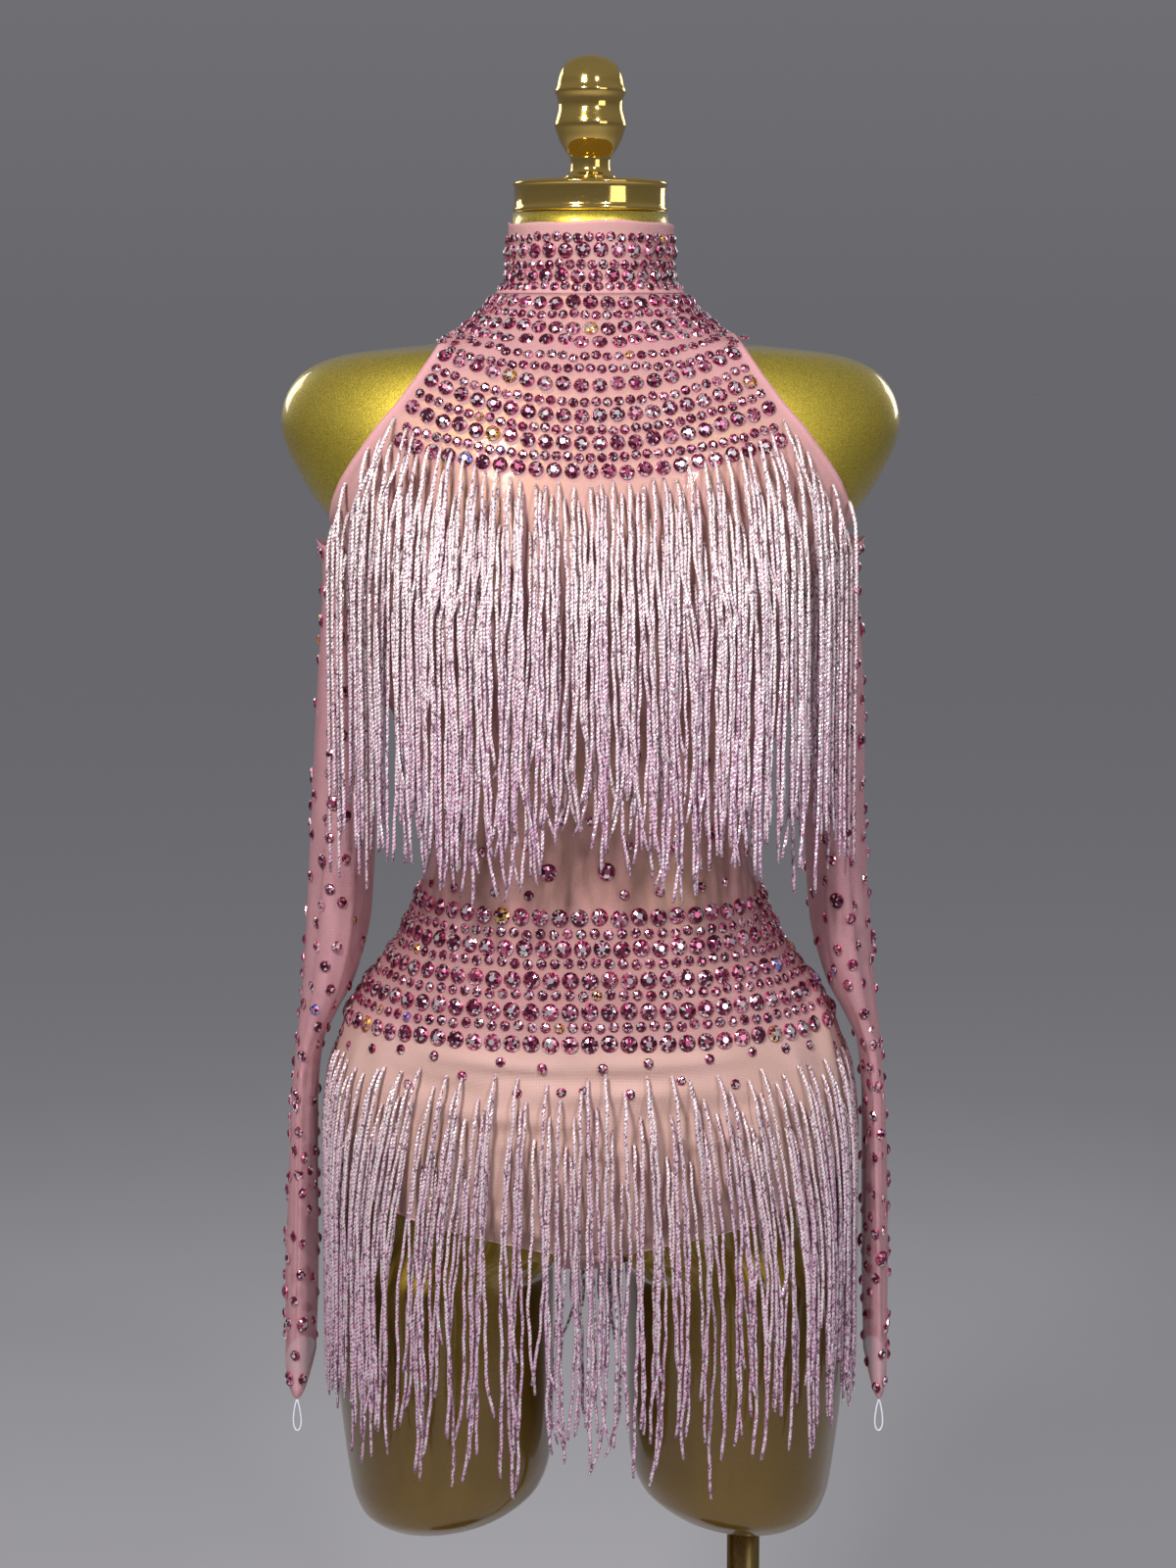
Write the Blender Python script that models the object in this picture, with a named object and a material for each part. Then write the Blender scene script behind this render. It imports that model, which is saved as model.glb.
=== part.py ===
"""Fringe dance leotard on a limbless dress form.

Metres, +Z up. The origin is the centre of the base's underside and the front faces -Y.
Heights in the tables are measured from the shoulder line of the form. An angle of 0 degrees
is the centre front, 90 degrees is the side seam at +X and 180 degrees is the centre back.
"""

import math
import random
from typing import NamedTuple

import bmesh
import bpy
import numpy as np

SHOULDER_HEIGHT = 1.390
SEAM_GAP = 0.0003

NORMAL_STEP = 0.002
SMOOTH_BELOW = 40

# Cloth
WALL = 0.0012
STONE_RIDGE = 0.0016
SLEEVE_WALL = 0.0012

# Dress form
NECK_TOP = 0.083
CROTCH_HEIGHT = -0.575
CROTCH_SAG = 0.021
THIGH_GAP_HALF = 0.024
SIDE_COLUMNS = 13
SADDLE_ROWS = 6
BUST_CENTRE_X = 0.066
BUST_HEIGHT = -0.165
BUST_SWELL = 0.008
BUST_SPREAD = 0.040
THIGH_TILT = 0.13
THIGH_TILT_TOP = -0.690
THIGH_TILT_DROP = 0.08

# Stand and trim
CAP_RADIUS = 0.050
CAP_THICKNESS = 0.0205
CAP_BEVEL = 0.0015
NECK_CENTRE_Y = 0.012
POLE_RADIUS = 0.011
POLE_X = 0.104
POLE_Y = 0.006
POLE_DEPTH_IN_THIGH = 0.080
POLE_SIDES = 16
POLE_BORE_OVERRUN = 0.02
BASE_RADIUS = 0.190
BASE_THICKNESS = 0.010
BASE_BEVEL = 0.003
SOCKET_HEIGHT = 0.024
SOCKET_RADIUS = 0.024
SOCKET_TAPER = 0.006
LOOP_LENGTH = 0.021
LOOP_WIDTH = 0.007
LOOP_CORD = 0.0006

# Cloth panels
PANEL_COLUMNS = 12
COLLAR_TOP = 0.0765
COLLAR_SEAM = 0.0300
COLLAR_PLAIN_BAND = 0.006
COLLAR_INNER_ROW = 0.042
COLLAR_STONE_ROWS = 5
COLLAR_COLUMNS = 24
YOKE_STONE_ROWS = 12
YOKE_BOTTOM = -0.082
WAIST_STONE_ROWS = 9
WAIST_TOP = -0.352
WAIST_BOTTOM = -0.441
GUSSET_HALF_WIDTH = 0.021
GUSSET_ROWS = 8
BACK_SEAM_SHARE = 0.0012
SLEEVE_COLUMNS = 12
CUFF_POINT = 0.022

# Fringe
STRIP_HEIGHT = 0.005
STRIP_DEPTH = 0.0014
STRIP_OFFSET = 0.0009
STRAND_RADIUS = 0.0019
STRAND_FIRST_LAYER = 0.0040
STRAND_LAYER_STEP = 0.0042
STRAND_FIRST_DROP = 0.009
STRAND_SWAY = 0.0025
LENGTH_SPREAD = 0.035
LENGTH_MIDDLE = 0.6
LAYERS = 3
BEND_SAMPLES = 12
ANGLE_STEP = 0.01


class Section(NamedTuple):
    """A level ring round the form: front and back are distances from the form's axis."""

    height: float
    half_width: float
    front: float
    back: float
    widest_y: float
    squareness: float


FORM_SECTIONS = [
    Section(0.083, 0.050, 0.038, 0.062, 0.012, 2.0),
    Section(0.042, 0.050, 0.038, 0.062, 0.012, 2.0),
    Section(0.031, 0.058, 0.042, 0.064, 0.012, 2.0),
    Section(0.020, 0.068, 0.047, 0.067, 0.012, 2.0),
    Section(0.0125, 0.077, 0.051, 0.069, 0.012, 2.0),
    Section(0.006, 0.086, 0.055, 0.071, 0.011, 2.0),
    Section(0.001, 0.097, 0.058, 0.073, 0.011, 2.0),
    Section(-0.002, 0.125, 0.061, 0.075, 0.010, 2.0),
    Section(-0.006, 0.158, 0.064, 0.077, 0.010, 2.0),
    Section(-0.012, 0.176, 0.068, 0.080, 0.010, 2.0),
    Section(-0.020, 0.188, 0.073, 0.083, 0.010, 2.0),
    Section(-0.034, 0.197, 0.080, 0.088, 0.008, 2.0),
    Section(-0.050, 0.200, 0.087, 0.093, 0.007, 2.0),
    Section(-0.066, 0.196, 0.093, 0.097, 0.005, 2.0),
    Section(-0.082, 0.188, 0.098, 0.100, 0.004, 2.05),
    Section(-0.100, 0.177, 0.103, 0.101, 0.002, 2.1),
    Section(-0.118, 0.162, 0.108, 0.101, 0.000, 2.15),
    Section(-0.134, 0.1535, 0.112, 0.100, 0.000, 2.2),
    Section(-0.152, 0.149, 0.116, 0.099, 0.000, 2.25),
    Section(-0.172, 0.146, 0.117, 0.098, 0.000, 2.3),
    Section(-0.196, 0.142, 0.114, 0.095, 0.000, 2.3),
    Section(-0.218, 0.134, 0.106, 0.091, 0.000, 2.3),
    Section(-0.240, 0.123, 0.098, 0.086, 0.000, 2.3),
    Section(-0.264, 0.111, 0.090, 0.080, 0.000, 2.3),
    Section(-0.288, 0.102, 0.085, 0.075, 0.000, 2.3),
    Section(-0.310, 0.099, 0.083, 0.073, 0.000, 2.3),
    Section(-0.336, 0.103, 0.084, 0.076, 0.001, 2.3),
    Section(-0.362, 0.112, 0.087, 0.083, 0.002, 2.3),
    Section(-0.390, 0.125, 0.091, 0.093, 0.003, 2.25),
    Section(-0.414, 0.143, 0.095, 0.102, 0.004, 2.2),
    Section(-0.436, 0.157, 0.098, 0.109, 0.005, 2.2),
    Section(-0.460, 0.1645, 0.101, 0.115, 0.005, 2.2),
    Section(-0.488, 0.1690, 0.103, 0.119, 0.005, 2.2),
    Section(-0.516, 0.1710, 0.103, 0.121, 0.005, 2.2),
    Section(-0.546, 0.1710, 0.098, 0.116, 0.006, 2.2),
    Section(CROTCH_HEIGHT, 0.1700, 0.087, 0.104, 0.007, 2.2),
]


class ThighSection(NamedTuple):
    height: float
    centre_x: float
    half_width: float
    centre_y: float
    half_depth: float


THIGH_SECTIONS = [
    ThighSection(-0.610, 0.0985, 0.0740, 0.0075, 0.0900),
    ThighSection(-0.650, 0.0980, 0.0735, 0.0070, 0.0860),
    ThighSection(-0.690, 0.0970, 0.0725, 0.0065, 0.0820),
    ThighSection(-0.725, 0.0955, 0.0700, 0.0060, 0.0785),
    ThighSection(-0.750, 0.0945, 0.0672, 0.0060, 0.0755),
    ThighSection(-0.766, 0.0945, 0.0620, 0.0060, 0.0700),
    ThighSection(-0.778, 0.0950, 0.0500, 0.0060, 0.0570),
    ThighSection(-0.785, 0.0960, 0.0330, 0.0060, 0.0370),
]
THIGH_BOTTOM = -0.788


class Ease(NamedTuple):
    """How far the cloth's inside lies off the form at a height."""

    height: float
    clearance: float


CLOTH_EASE = [
    Ease(0.083, 0.0020),
    Ease(0.030, 0.0020),
    Ease(0.008, 0.0038),
    Ease(-0.002, 0.0060),
    Ease(-0.018, 0.0056),
    Ease(-0.045, 0.0030),
    Ease(-0.070, 0.0025),
    Ease(-0.100, 0.0028),
    Ease(-0.126, 0.0036),
    Ease(-0.148, 0.0024),
    Ease(-0.200, 0.0020),
    Ease(-0.508, 0.0020),
    Ease(-0.526, 0.0030),
    Ease(-0.550, 0.0026),
    Ease(CROTCH_HEIGHT, 0.0020),
]


class Edge(NamedTuple):
    """A point of a panel's free edge: where a row of the cloth stops."""

    row_centre: float
    height: float
    half_width: float


FRONT_EDGE = [
    Edge(0.0300, 0.0300, 0.100),
    Edge(-0.0200, 0.0010, 0.092),
    Edge(-0.0300, -0.0060, 0.096),
    Edge(-0.0520, -0.0200, 0.106),
    Edge(-0.0820, -0.0380, 0.120),
    Edge(-0.0910, -0.0500, 0.131),
    Edge(-0.1000, -0.0620, 0.140),
    Edge(-0.1080, -0.0730, 0.148),
    Edge(-0.1150, -0.0840, 0.155),
    Edge(-0.1220, -0.0955, 0.160),
    Edge(-0.1300, -0.1070, 0.163),
    Edge(-0.1340, -0.1150, 0.1625),
    Edge(-0.1380, -0.1225, 0.1615),
    Edge(-0.1430, -0.1280, 0.200),
    Edge(-0.1600, -0.1600, 0.200),
    Edge(-0.5000, -0.5000, 0.200),
    Edge(-0.5220, -0.5160, 0.200),
    Edge(-0.5280, -0.5210, 0.1695),
    Edge(-0.5340, -0.5270, 0.166),
    Edge(-0.5410, -0.5340, 0.159),
    Edge(-0.5480, -0.5420, 0.148),
    Edge(-0.5540, -0.5490, 0.133),
    Edge(-0.5600, -0.5555, 0.113),
    Edge(-0.5650, -0.5615, 0.086),
    Edge(-0.5700, -0.5675, 0.054),
    Edge(CROTCH_HEIGHT, CROTCH_HEIGHT, GUSSET_HALF_WIDTH),
]

BACK_EDGE = [
    Edge(0.0300, 0.0300, 0.100),
    Edge(-0.0200, 0.0010, 0.092),
    Edge(-0.0300, -0.0060, 0.096),
    Edge(-0.0520, -0.0200, 0.108),
    Edge(-0.0820, -0.0380, 0.124),
    Edge(-0.0910, -0.0500, 0.134),
    Edge(-0.1000, -0.0620, 0.143),
    Edge(-0.1080, -0.0730, 0.150),
    Edge(-0.1150, -0.0840, 0.157),
    Edge(-0.1220, -0.0955, 0.162),
    Edge(-0.1300, -0.1070, 0.1645),
    Edge(-0.1340, -0.1150, 0.1635),
    Edge(-0.1380, -0.1225, 0.1620),
    Edge(-0.1430, -0.1280, 0.200),
    Edge(-0.1600, -0.1600, 0.200),
    Edge(-0.5000, -0.5000, 0.200),
    Edge(-0.5220, -0.5160, 0.200),
    Edge(-0.5280, -0.5220, 0.170),
    Edge(-0.5340, -0.5290, 0.167),
    Edge(-0.5410, -0.5370, 0.161),
    Edge(-0.5480, -0.5450, 0.151),
    Edge(-0.5540, -0.5520, 0.137),
    Edge(-0.5600, -0.5585, 0.117),
    Edge(-0.5650, -0.5640, 0.090),
    Edge(-0.5700, -0.5690, 0.057),
    Edge(CROTCH_HEIGHT, CROTCH_HEIGHT, GUSSET_HALF_WIDTH),
]

UNDERARM_ROWS = [-0.091, -0.100, -0.108, -0.115, -0.122, -0.130, -0.134, -0.138, -0.143]
BODICE_ROWS = [-0.160, -0.180, -0.202, -0.226, -0.250, -0.280, -0.310, -0.333]
BODY_ROWS = UNDERARM_ROWS + BODICE_ROWS
BRIEF_ROWS = [-0.463, -0.488, -0.508, -0.522, -0.528, -0.534, -0.541, -0.548, -0.554, -0.560, -0.565, -0.570]
INNER_YOKE_ROWS = [0.018, 0.006, -0.006, -0.018, -0.030, -0.044, -0.060]
INNER_WAIST_ROWS = [-0.376, -0.400, -0.420]


class SleeveSection(NamedTuple):
    height: float
    inner_x: float
    outer_x: float
    half_depth: float
    centre_y: float


LEFT_SLEEVE = [
    SleeveSection(-0.126, 0.1622, 0.1745, 0.040, 0.014),
    SleeveSection(-0.140, 0.1585, 0.1735, 0.046, 0.014),
    SleeveSection(-0.165, 0.1535, 0.1745, 0.051, 0.015),
    SleeveSection(-0.200, 0.1490, 0.1770, 0.055, 0.015),
    SleeveSection(-0.250, 0.1440, 0.1805, 0.057, 0.016),
    SleeveSection(-0.310, 0.1420, 0.1840, 0.057, 0.016),
    SleeveSection(-0.370, 0.1450, 0.1875, 0.055, 0.016),
    SleeveSection(-0.415, 0.1560, 0.1905, 0.051, 0.016),
    SleeveSection(-0.440, 0.1690, 0.1930, 0.048, 0.016),
    SleeveSection(-0.462, 0.1785, 0.1955, 0.046, 0.015),
    SleeveSection(-0.500, 0.1820, 0.1990, 0.043, 0.014),
    SleeveSection(-0.560, 0.1825, 0.2020, 0.039, 0.012),
    SleeveSection(-0.620, 0.1830, 0.2045, 0.035, 0.010),
    SleeveSection(-0.672, 0.1850, 0.2050, 0.033, 0.008),
]

RIGHT_SLEEVE = [
    SleeveSection(-0.124, 0.1635, 0.1755, 0.040, 0.014),
    SleeveSection(-0.140, 0.1585, 0.1735, 0.046, 0.014),
    SleeveSection(-0.165, 0.1535, 0.1735, 0.051, 0.015),
    SleeveSection(-0.200, 0.1490, 0.1750, 0.055, 0.015),
    SleeveSection(-0.250, 0.1440, 0.1780, 0.057, 0.016),
    SleeveSection(-0.310, 0.1420, 0.1810, 0.057, 0.016),
    SleeveSection(-0.370, 0.1450, 0.1850, 0.055, 0.016),
    SleeveSection(-0.415, 0.1560, 0.1885, 0.051, 0.016),
    SleeveSection(-0.440, 0.1690, 0.1910, 0.048, 0.016),
    SleeveSection(-0.462, 0.1785, 0.1930, 0.046, 0.015),
    SleeveSection(-0.500, 0.1820, 0.1965, 0.043, 0.014),
    SleeveSection(-0.560, 0.1825, 0.1985, 0.039, 0.012),
    SleeveSection(-0.620, 0.1830, 0.1995, 0.035, 0.010),
    SleeveSection(-0.672, 0.1845, 0.1995, 0.033, 0.008),
]


class Fringe(NamedTuple):
    """A row of strands: all round where span is 0, or else over that share of the front's row.

    Its stops are the heights at which the strands bend over the body on their way down.
    """

    name: str
    height: float
    strands: int
    layer: int
    span: float
    length: float
    stops: tuple[float, ...]


FRINGES = [
    Fringe("bust_fringe_top", -0.090, 25, 2, 0.96, 0.228, (-0.145, -0.170)),
    Fringe("bust_fringe_middle", -0.106, 24, 1, 0.95, 0.226, (-0.145, -0.170)),
    Fringe("bust_fringe_bottom", -0.122, 23, 0, 0.93, 0.222, (-0.145, -0.170)),
    Fringe("hip_fringe_top", -0.458, 30, 2, 0.0, 0.226, (-0.518,)),
    Fringe("hip_fringe_middle", -0.476, 30, 1, 0.0, 0.226, (-0.520,)),
    Fringe("hip_fringe_bottom", -0.494, 30, 0, 0.0, 0.224, (-0.524,)),
]


class TurnedPoint(NamedTuple):
    radius: float
    height: float


FINIAL_PROFILE = [
    TurnedPoint(0.0164, 0.1041),
    TurnedPoint(0.0164, 0.1068),
    TurnedPoint(0.0126, 0.1095),
    TurnedPoint(0.0126, 0.1190),
    TurnedPoint(0.0156, 0.1212),
    TurnedPoint(0.0200, 0.1290),
    TurnedPoint(0.0218, 0.1345),
    TurnedPoint(0.0233, 0.1385),
    TurnedPoint(0.0226, 0.1420),
    TurnedPoint(0.0202, 0.1500),
    TurnedPoint(0.0212, 0.1560),
    TurnedPoint(0.0233, 0.1600),
    TurnedPoint(0.0216, 0.1635),
    TurnedPoint(0.0208, 0.1690),
    TurnedPoint(0.0176, 0.1765),
    TurnedPoint(0.0108, 0.1815),
]
FINIAL_TOP = 0.1832
FINIAL_SIDES = 16
CAP_SIDES = 28
BASE_SIDES = 36
LOOP_POINTS = 10

COLOURS = {
    "cloth": ((0.72, 0.42, 0.44, 1.0), 0.80, 0.0),
    "fringe": ((0.80, 0.62, 0.72, 1.0), 0.40, 0.2),
    "loop": ((0.80, 0.84, 0.92, 1.0), 0.40, 0.0),
    "form_gold": ((0.48, 0.36, 0.07, 1.0), 0.28, 0.85),
    "bright_gold": ((0.85, 0.62, 0.18, 1.0), 0.12, 1.0),
    "brass": ((0.42, 0.30, 0.10, 1.0), 0.30, 1.0),
}


def clear_scene():
    for existing in list(bpy.data.objects):
        bpy.data.objects.remove(existing)


def material(name):
    """The Principled material of this name, made once."""
    if name in bpy.data.materials:
        return bpy.data.materials[name]
    colour, roughness, metallic = COLOURS[name]
    made = bpy.data.materials.new(name)
    made.use_nodes = True
    shader = made.node_tree.nodes["Principled BSDF"]
    shader.inputs["Base Color"].default_value = colour
    shader.inputs["Roughness"].default_value = roughness
    shader.inputs["Metallic"].default_value = metallic
    return made


def add_object(name, points, faces, material_name, smooth=True):
    """A closed mesh object with its faces turned outward."""
    mesh = bpy.data.meshes.new(name)
    mesh.from_pydata([tuple(map(float, point)) for point in points], [], faces)
    shape = bmesh.new()
    shape.from_mesh(mesh)
    bmesh.ops.recalc_face_normals(shape, faces=shape.faces)
    shape.to_mesh(mesh)
    shape.free()
    if smooth:
        mesh.shade_smooth()
        mesh.set_sharp_from_angle(angle=math.radians(SMOOTH_BELOW))
    mesh.materials.append(material(material_name))
    made = bpy.data.objects.new(name, mesh)
    bpy.context.scene.collection.objects.link(made)
    return made


def column(table, name):
    return np.array([getattr(row, name) for row in table])


def smooth_between(keys, values, wanted):
    """Values between the table's keys, on cubic curves that never overshoot the table."""
    order = np.argsort(keys)
    x = np.asarray(keys, float)[order]
    y = np.asarray(values, float)[order]
    wanted = np.clip(wanted, x[0], x[-1])
    steps = np.diff(x)
    slopes = np.diff(y) / steps
    before, after = slopes[:-1], slopes[1:]
    product = before * after
    mean = np.where(product > 0, 2 * product / np.where(before + after == 0, 1, before + after), 0)
    tangents = np.concatenate([slopes[:1], mean, slopes[-1:]])
    place = np.clip(np.searchsorted(x, wanted) - 1, 0, len(steps) - 1)
    t = (wanted - x[place]) / steps[place]
    return (
        y[place] * (1 + 2 * t) * (1 - t) ** 2
        + y[place + 1] * t * t * (3 - 2 * t)
        + steps[place] * t * (1 - t) * (tangents[place] * (1 - t) - tangents[place + 1] * t)
    )


def section_value(name, height):
    return smooth_between(column(FORM_SECTIONS, "height"), column(FORM_SECTIONS, name), height)


def torso_point(angle, height):
    """The form's surface above the crotch, with heights still measured from the shoulder line."""
    angle, height = np.broadcast_arrays(np.asarray(angle, float), np.asarray(height, float))
    power = 2 / section_value("squareness", height)
    widest_y = section_value("widest_y", height)
    across = np.sign(np.sin(angle)) * np.abs(np.sin(angle)) ** power
    along = np.sign(np.cos(angle)) * np.abs(np.cos(angle)) ** power
    front = section_value("front", height) + widest_y
    back = section_value("back", height) - widest_y
    x = section_value("half_width", height) * across
    y = widest_y - np.where(along > 0, front, back) * along
    swell = np.exp(-((np.abs(x) - BUST_CENTRE_X) ** 2 + (height - BUST_HEIGHT) ** 2) / (2 * BUST_SPREAD**2))
    y = y - BUST_SWELL * swell * np.clip(along, 0, 1)
    return np.stack([x, y, height], axis=-1)


def torso_normal(angle, height):
    around = torso_point(angle + NORMAL_STEP, height) - torso_point(angle - NORMAL_STEP, height)
    down = torso_point(angle, height - NORMAL_STEP) - torso_point(angle, height + NORMAL_STEP)
    normal = np.cross(down, around)
    return normal / np.linalg.norm(normal, axis=-1, keepdims=True)


def over_torso(angle, height, offset):
    """A point that lies this far outside the cloth's inner face."""
    angle, height = np.broadcast_arrays(np.asarray(angle, float), np.asarray(height, float))
    clearance = np.interp(-height, -column(CLOTH_EASE, "height"), column(CLOTH_EASE, "clearance"))
    off_form = (np.asarray(offset) + clearance)[..., None]
    return torso_point(angle, height) + torso_normal(angle, height) * off_form


def side_angle(half_width, height):
    """The angle from the centre at which the form's ring is this wide, and 90 degrees where it never is."""
    share = np.clip(half_width / section_value("half_width", height), 0, 1)
    return np.arcsin(share ** (section_value("squareness", height) / 2))


def world(points):
    return np.asarray(points) + np.array([0, 0, SHOULDER_HEIGHT])


def quads(first, second, closed):
    """Faces between two rows of point numbers."""
    count = len(first)
    last = count if closed else count - 1
    return [(first[i], first[(i + 1) % count], second[(i + 1) % count], second[i]) for i in range(last)]


def zip_edge(outer, inner, outer_keys, inner_keys):
    """Triangles between two lines of points with different spacing, both sorted the same way."""
    faces = []
    i = j = 0
    while i < len(outer) - 1 or j < len(inner) - 1:
        step_outer = j == len(inner) - 1 or (i < len(outer) - 1 and outer_keys[i + 1] <= inner_keys[j + 1])
        if step_outer:
            faces.append((outer[i], outer[i + 1], inner[j]))
            i += 1
        else:
            faces.append((inner[j + 1], inner[j], outer[i]))
            j += 1
    return faces


def cloth_wall(name, outer, inner, outer_keys, inner_keys, closed=False):
    """A wall of cloth from a grid of outer points and a plainer grid of inner points, rows top to bottom."""
    outer_rows, columns, _ = outer.shape
    inner_rows = inner.shape[0]
    points = np.concatenate([outer.reshape(-1, 3), inner.reshape(-1, 3)])
    outside = np.arange(outer_rows * columns).reshape(outer_rows, columns)
    inside = outer_rows * columns + np.arange(inner_rows * columns).reshape(inner_rows, columns)
    faces = []
    for grid in (outside, inside):
        for upper, lower in zip(grid[:-1], grid[1:]):
            faces += quads(upper, lower, closed)
    faces += quads(outside[0], inside[0], closed)
    faces += quads(outside[-1], inside[-1], closed)
    if not closed:
        for side in (0, -1):
            faces += zip_edge(outside[:, side], inside[:, side], outer_keys, inner_keys)
    faces = [tuple(int(number) for number in face) for face in faces]
    return add_object(name, world(points), faces, "cloth")


def row_places(edge, row_centre, shares):
    """Angles from the panel's centre line, and heights, along a row that bends to its place on the edge."""
    centres = column(edge, "row_centre")
    edge_height = np.interp(-row_centre, -centres, column(edge, "height"))
    edge_width = np.interp(-row_centre, -centres, column(edge, "half_width"))
    ring_width = section_value("half_width", edge_height)
    edge_angle = min(side_angle(edge_width, edge_height), math.pi / 2 - SEAM_GAP / 2 / ring_width)
    power = 2 / section_value("squareness", edge_height)
    half_width = ring_width * np.abs(np.sin(shares * edge_angle)) ** power
    heights = row_centre + (edge_height - row_centre) * shares**2
    angles = np.sign(shares) * side_angle(half_width, heights)
    return np.where(np.abs(shares) == 1, np.sign(shares) * edge_angle, angles), heights


def stone_rows(top, bottom, count):
    """Heights of the crests and dips of rows of stones, with True for a crest."""
    heights = np.linspace(top, bottom, 2 * count + 1)
    return [(float(height), index % 2 == 1) for index, height in enumerate(heights)]


def plain_rows(heights):
    return [(height, False) for height in heights]


def body_rows(stone_yoke):
    """Outer rows of the body panels: yoke, bodice, stone waistband and brief."""
    top = COLLAR_SEAM - SEAM_GAP / 2
    stone = stone_rows(top, YOKE_BOTTOM, YOKE_STONE_ROWS)
    yoke = stone if stone_yoke else plain_rows([top] + INNER_YOKE_ROWS + [YOKE_BOTTOM])
    return (
        yoke
        + plain_rows(BODY_ROWS)
        + stone_rows(WAIST_TOP, WAIST_BOTTOM, WAIST_STONE_ROWS)
        + plain_rows(BRIEF_ROWS)
        + plain_rows([CROTCH_HEIGHT + SEAM_GAP / 2])
    )


def inner_body_rows():
    return (
        [COLLAR_SEAM - SEAM_GAP / 2]
        + INNER_YOKE_ROWS
        + [YOKE_BOTTOM]
        + BODY_ROWS
        + [WAIST_TOP]
        + INNER_WAIST_ROWS
        + [WAIST_BOTTOM]
        + BRIEF_ROWS
        + [CROTCH_HEIGHT + SEAM_GAP / 2]
    )


def panel_grid(edge, rows, shares, centre_angle, offsets):
    """Points of a panel, a row at a time, at each row's offset from the cloth's inner face."""
    grid = []
    for row, offset in zip(rows, offsets):
        angles, heights = row_places(edge, row, shares)
        grid.append(over_torso(centre_angle + angles, heights, np.full(len(shares), offset)))
    return np.array(grid)


def body_panel(name, edge, shares, centre_angle, stone_yoke):
    rows = body_rows(stone_yoke)
    heights = [height for height, _ in rows]
    offsets = [WALL + STONE_RIDGE * crest for _, crest in rows]
    inner_heights = inner_body_rows()
    outer = panel_grid(edge, heights, shares, centre_angle, offsets)
    inner = panel_grid(edge, inner_heights, shares, centre_angle, [0.0] * len(inner_heights))
    return cloth_wall(name, outer, inner, -np.array(heights), -np.array(inner_heights))


def build_body():
    body_panel("front_body", FRONT_EDGE, np.linspace(-1, 1, PANEL_COLUMNS + 1), 0.0, True)
    to_side = np.linspace(0, 1, PANEL_COLUMNS // 2 + 1)
    to_side[0] = BACK_SEAM_SHARE
    body_panel("back_left", BACK_EDGE, to_side, math.pi, False)
    body_panel("back_right", BACK_EDGE, -to_side, math.pi, False)


def build_collar():
    """The collar's ends meet at the centre back."""
    rows = stone_rows(COLLAR_TOP - COLLAR_PLAIN_BAND, COLLAR_SEAM + SEAM_GAP / 2, COLLAR_STONE_ROWS)
    heights = np.array([COLLAR_TOP] + [height for height, _ in rows])
    raised = np.array([False] + [crest for _, crest in rows])
    inner_heights = np.array([COLLAR_TOP, COLLAR_INNER_ROW, COLLAR_SEAM + SEAM_GAP / 2])
    ends = math.pi - SEAM_GAP / 2 / CAP_RADIUS
    angles = np.linspace(-ends, ends, COLLAR_COLUMNS + 1)
    outer = over_torso(angles[None, :], heights[:, None], (WALL + STONE_RIDGE * raised)[:, None] + 0 * angles)
    inner = over_torso(angles[None, :], inner_heights[:, None], np.zeros((3, len(angles))))
    cloth_wall("collar", outer, inner, -heights, -inner_heights)


def saddle_point(turn, x, offset):
    """The crotch's half-ellipse from front (turn 0) to back (turn pi) at this distance from the middle."""
    angle = side_angle(abs(x), CROTCH_HEIGHT)
    front = torso_point(angle, CROTCH_HEIGHT)[1]
    back = torso_point(math.pi - angle, CROTCH_HEIGHT)[1]
    half_length = (back - front) / 2 + offset
    y = (front + back) / 2 - half_length * math.cos(turn)
    z = CROTCH_HEIGHT - (CROTCH_SAG + offset) * math.sin(turn)
    return np.array([x, y, z])


def build_gusset():
    """The strip under the crotch, between the ends of the front and back panels."""
    turns = np.linspace(0, math.pi, GUSSET_ROWS + 1)
    across = np.linspace(-GUSSET_HALF_WIDTH, GUSSET_HALF_WIDTH, 3)
    walls = []
    for offset in (WALL, 0.0):
        off_form = CLOTH_EASE[-1].clearance + offset
        grid = np.array([[saddle_point(turn, x, off_form) for x in across] for turn in turns])
        end_angles = np.sign(across) * side_angle(np.abs(across), CROTCH_HEIGHT)
        drop = np.array([0.0, 0.0, SEAM_GAP])
        grid[0] = over_torso(end_angles, CROTCH_HEIGHT + SEAM_GAP / 2, np.full(3, offset)) - drop
        grid[-1] = over_torso(math.pi - end_angles, CROTCH_HEIGHT + SEAM_GAP / 2, np.full(3, offset)) - drop
        walls.append(grid)
    cloth_wall("gusset", walls[0], walls[1], turns, turns)


def sleeve_grid(table, side, inset):
    """Rings down a loose hanging sleeve. The lowest ring dips to the cuff's point at the front."""
    turns = np.linspace(0, 2 * math.pi, SLEEVE_COLUMNS, endpoint=False)
    rings = []
    for row in table:
        centre_x = (row.inner_x + row.outer_x) / 2
        half_width = (row.outer_x - row.inner_x) / 2 - inset
        half_depth = row.half_depth - inset
        x = side * (centre_x + half_width * np.sin(turns))
        y = row.centre_y - half_depth * np.cos(turns)
        dip = CUFF_POINT * np.clip(np.cos(turns), 0, 1) ** 2 if row is table[-1] else 0 * turns
        rings.append(np.stack([x, y, row.height - dip], axis=-1))
    return np.array(rings)


def build_sleeve(name, table, side):
    keys = -column(table, "height")
    cloth_wall(name, sleeve_grid(table, side, 0.0), sleeve_grid(table, side, SLEEVE_WALL), keys, keys, closed=True)


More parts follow.
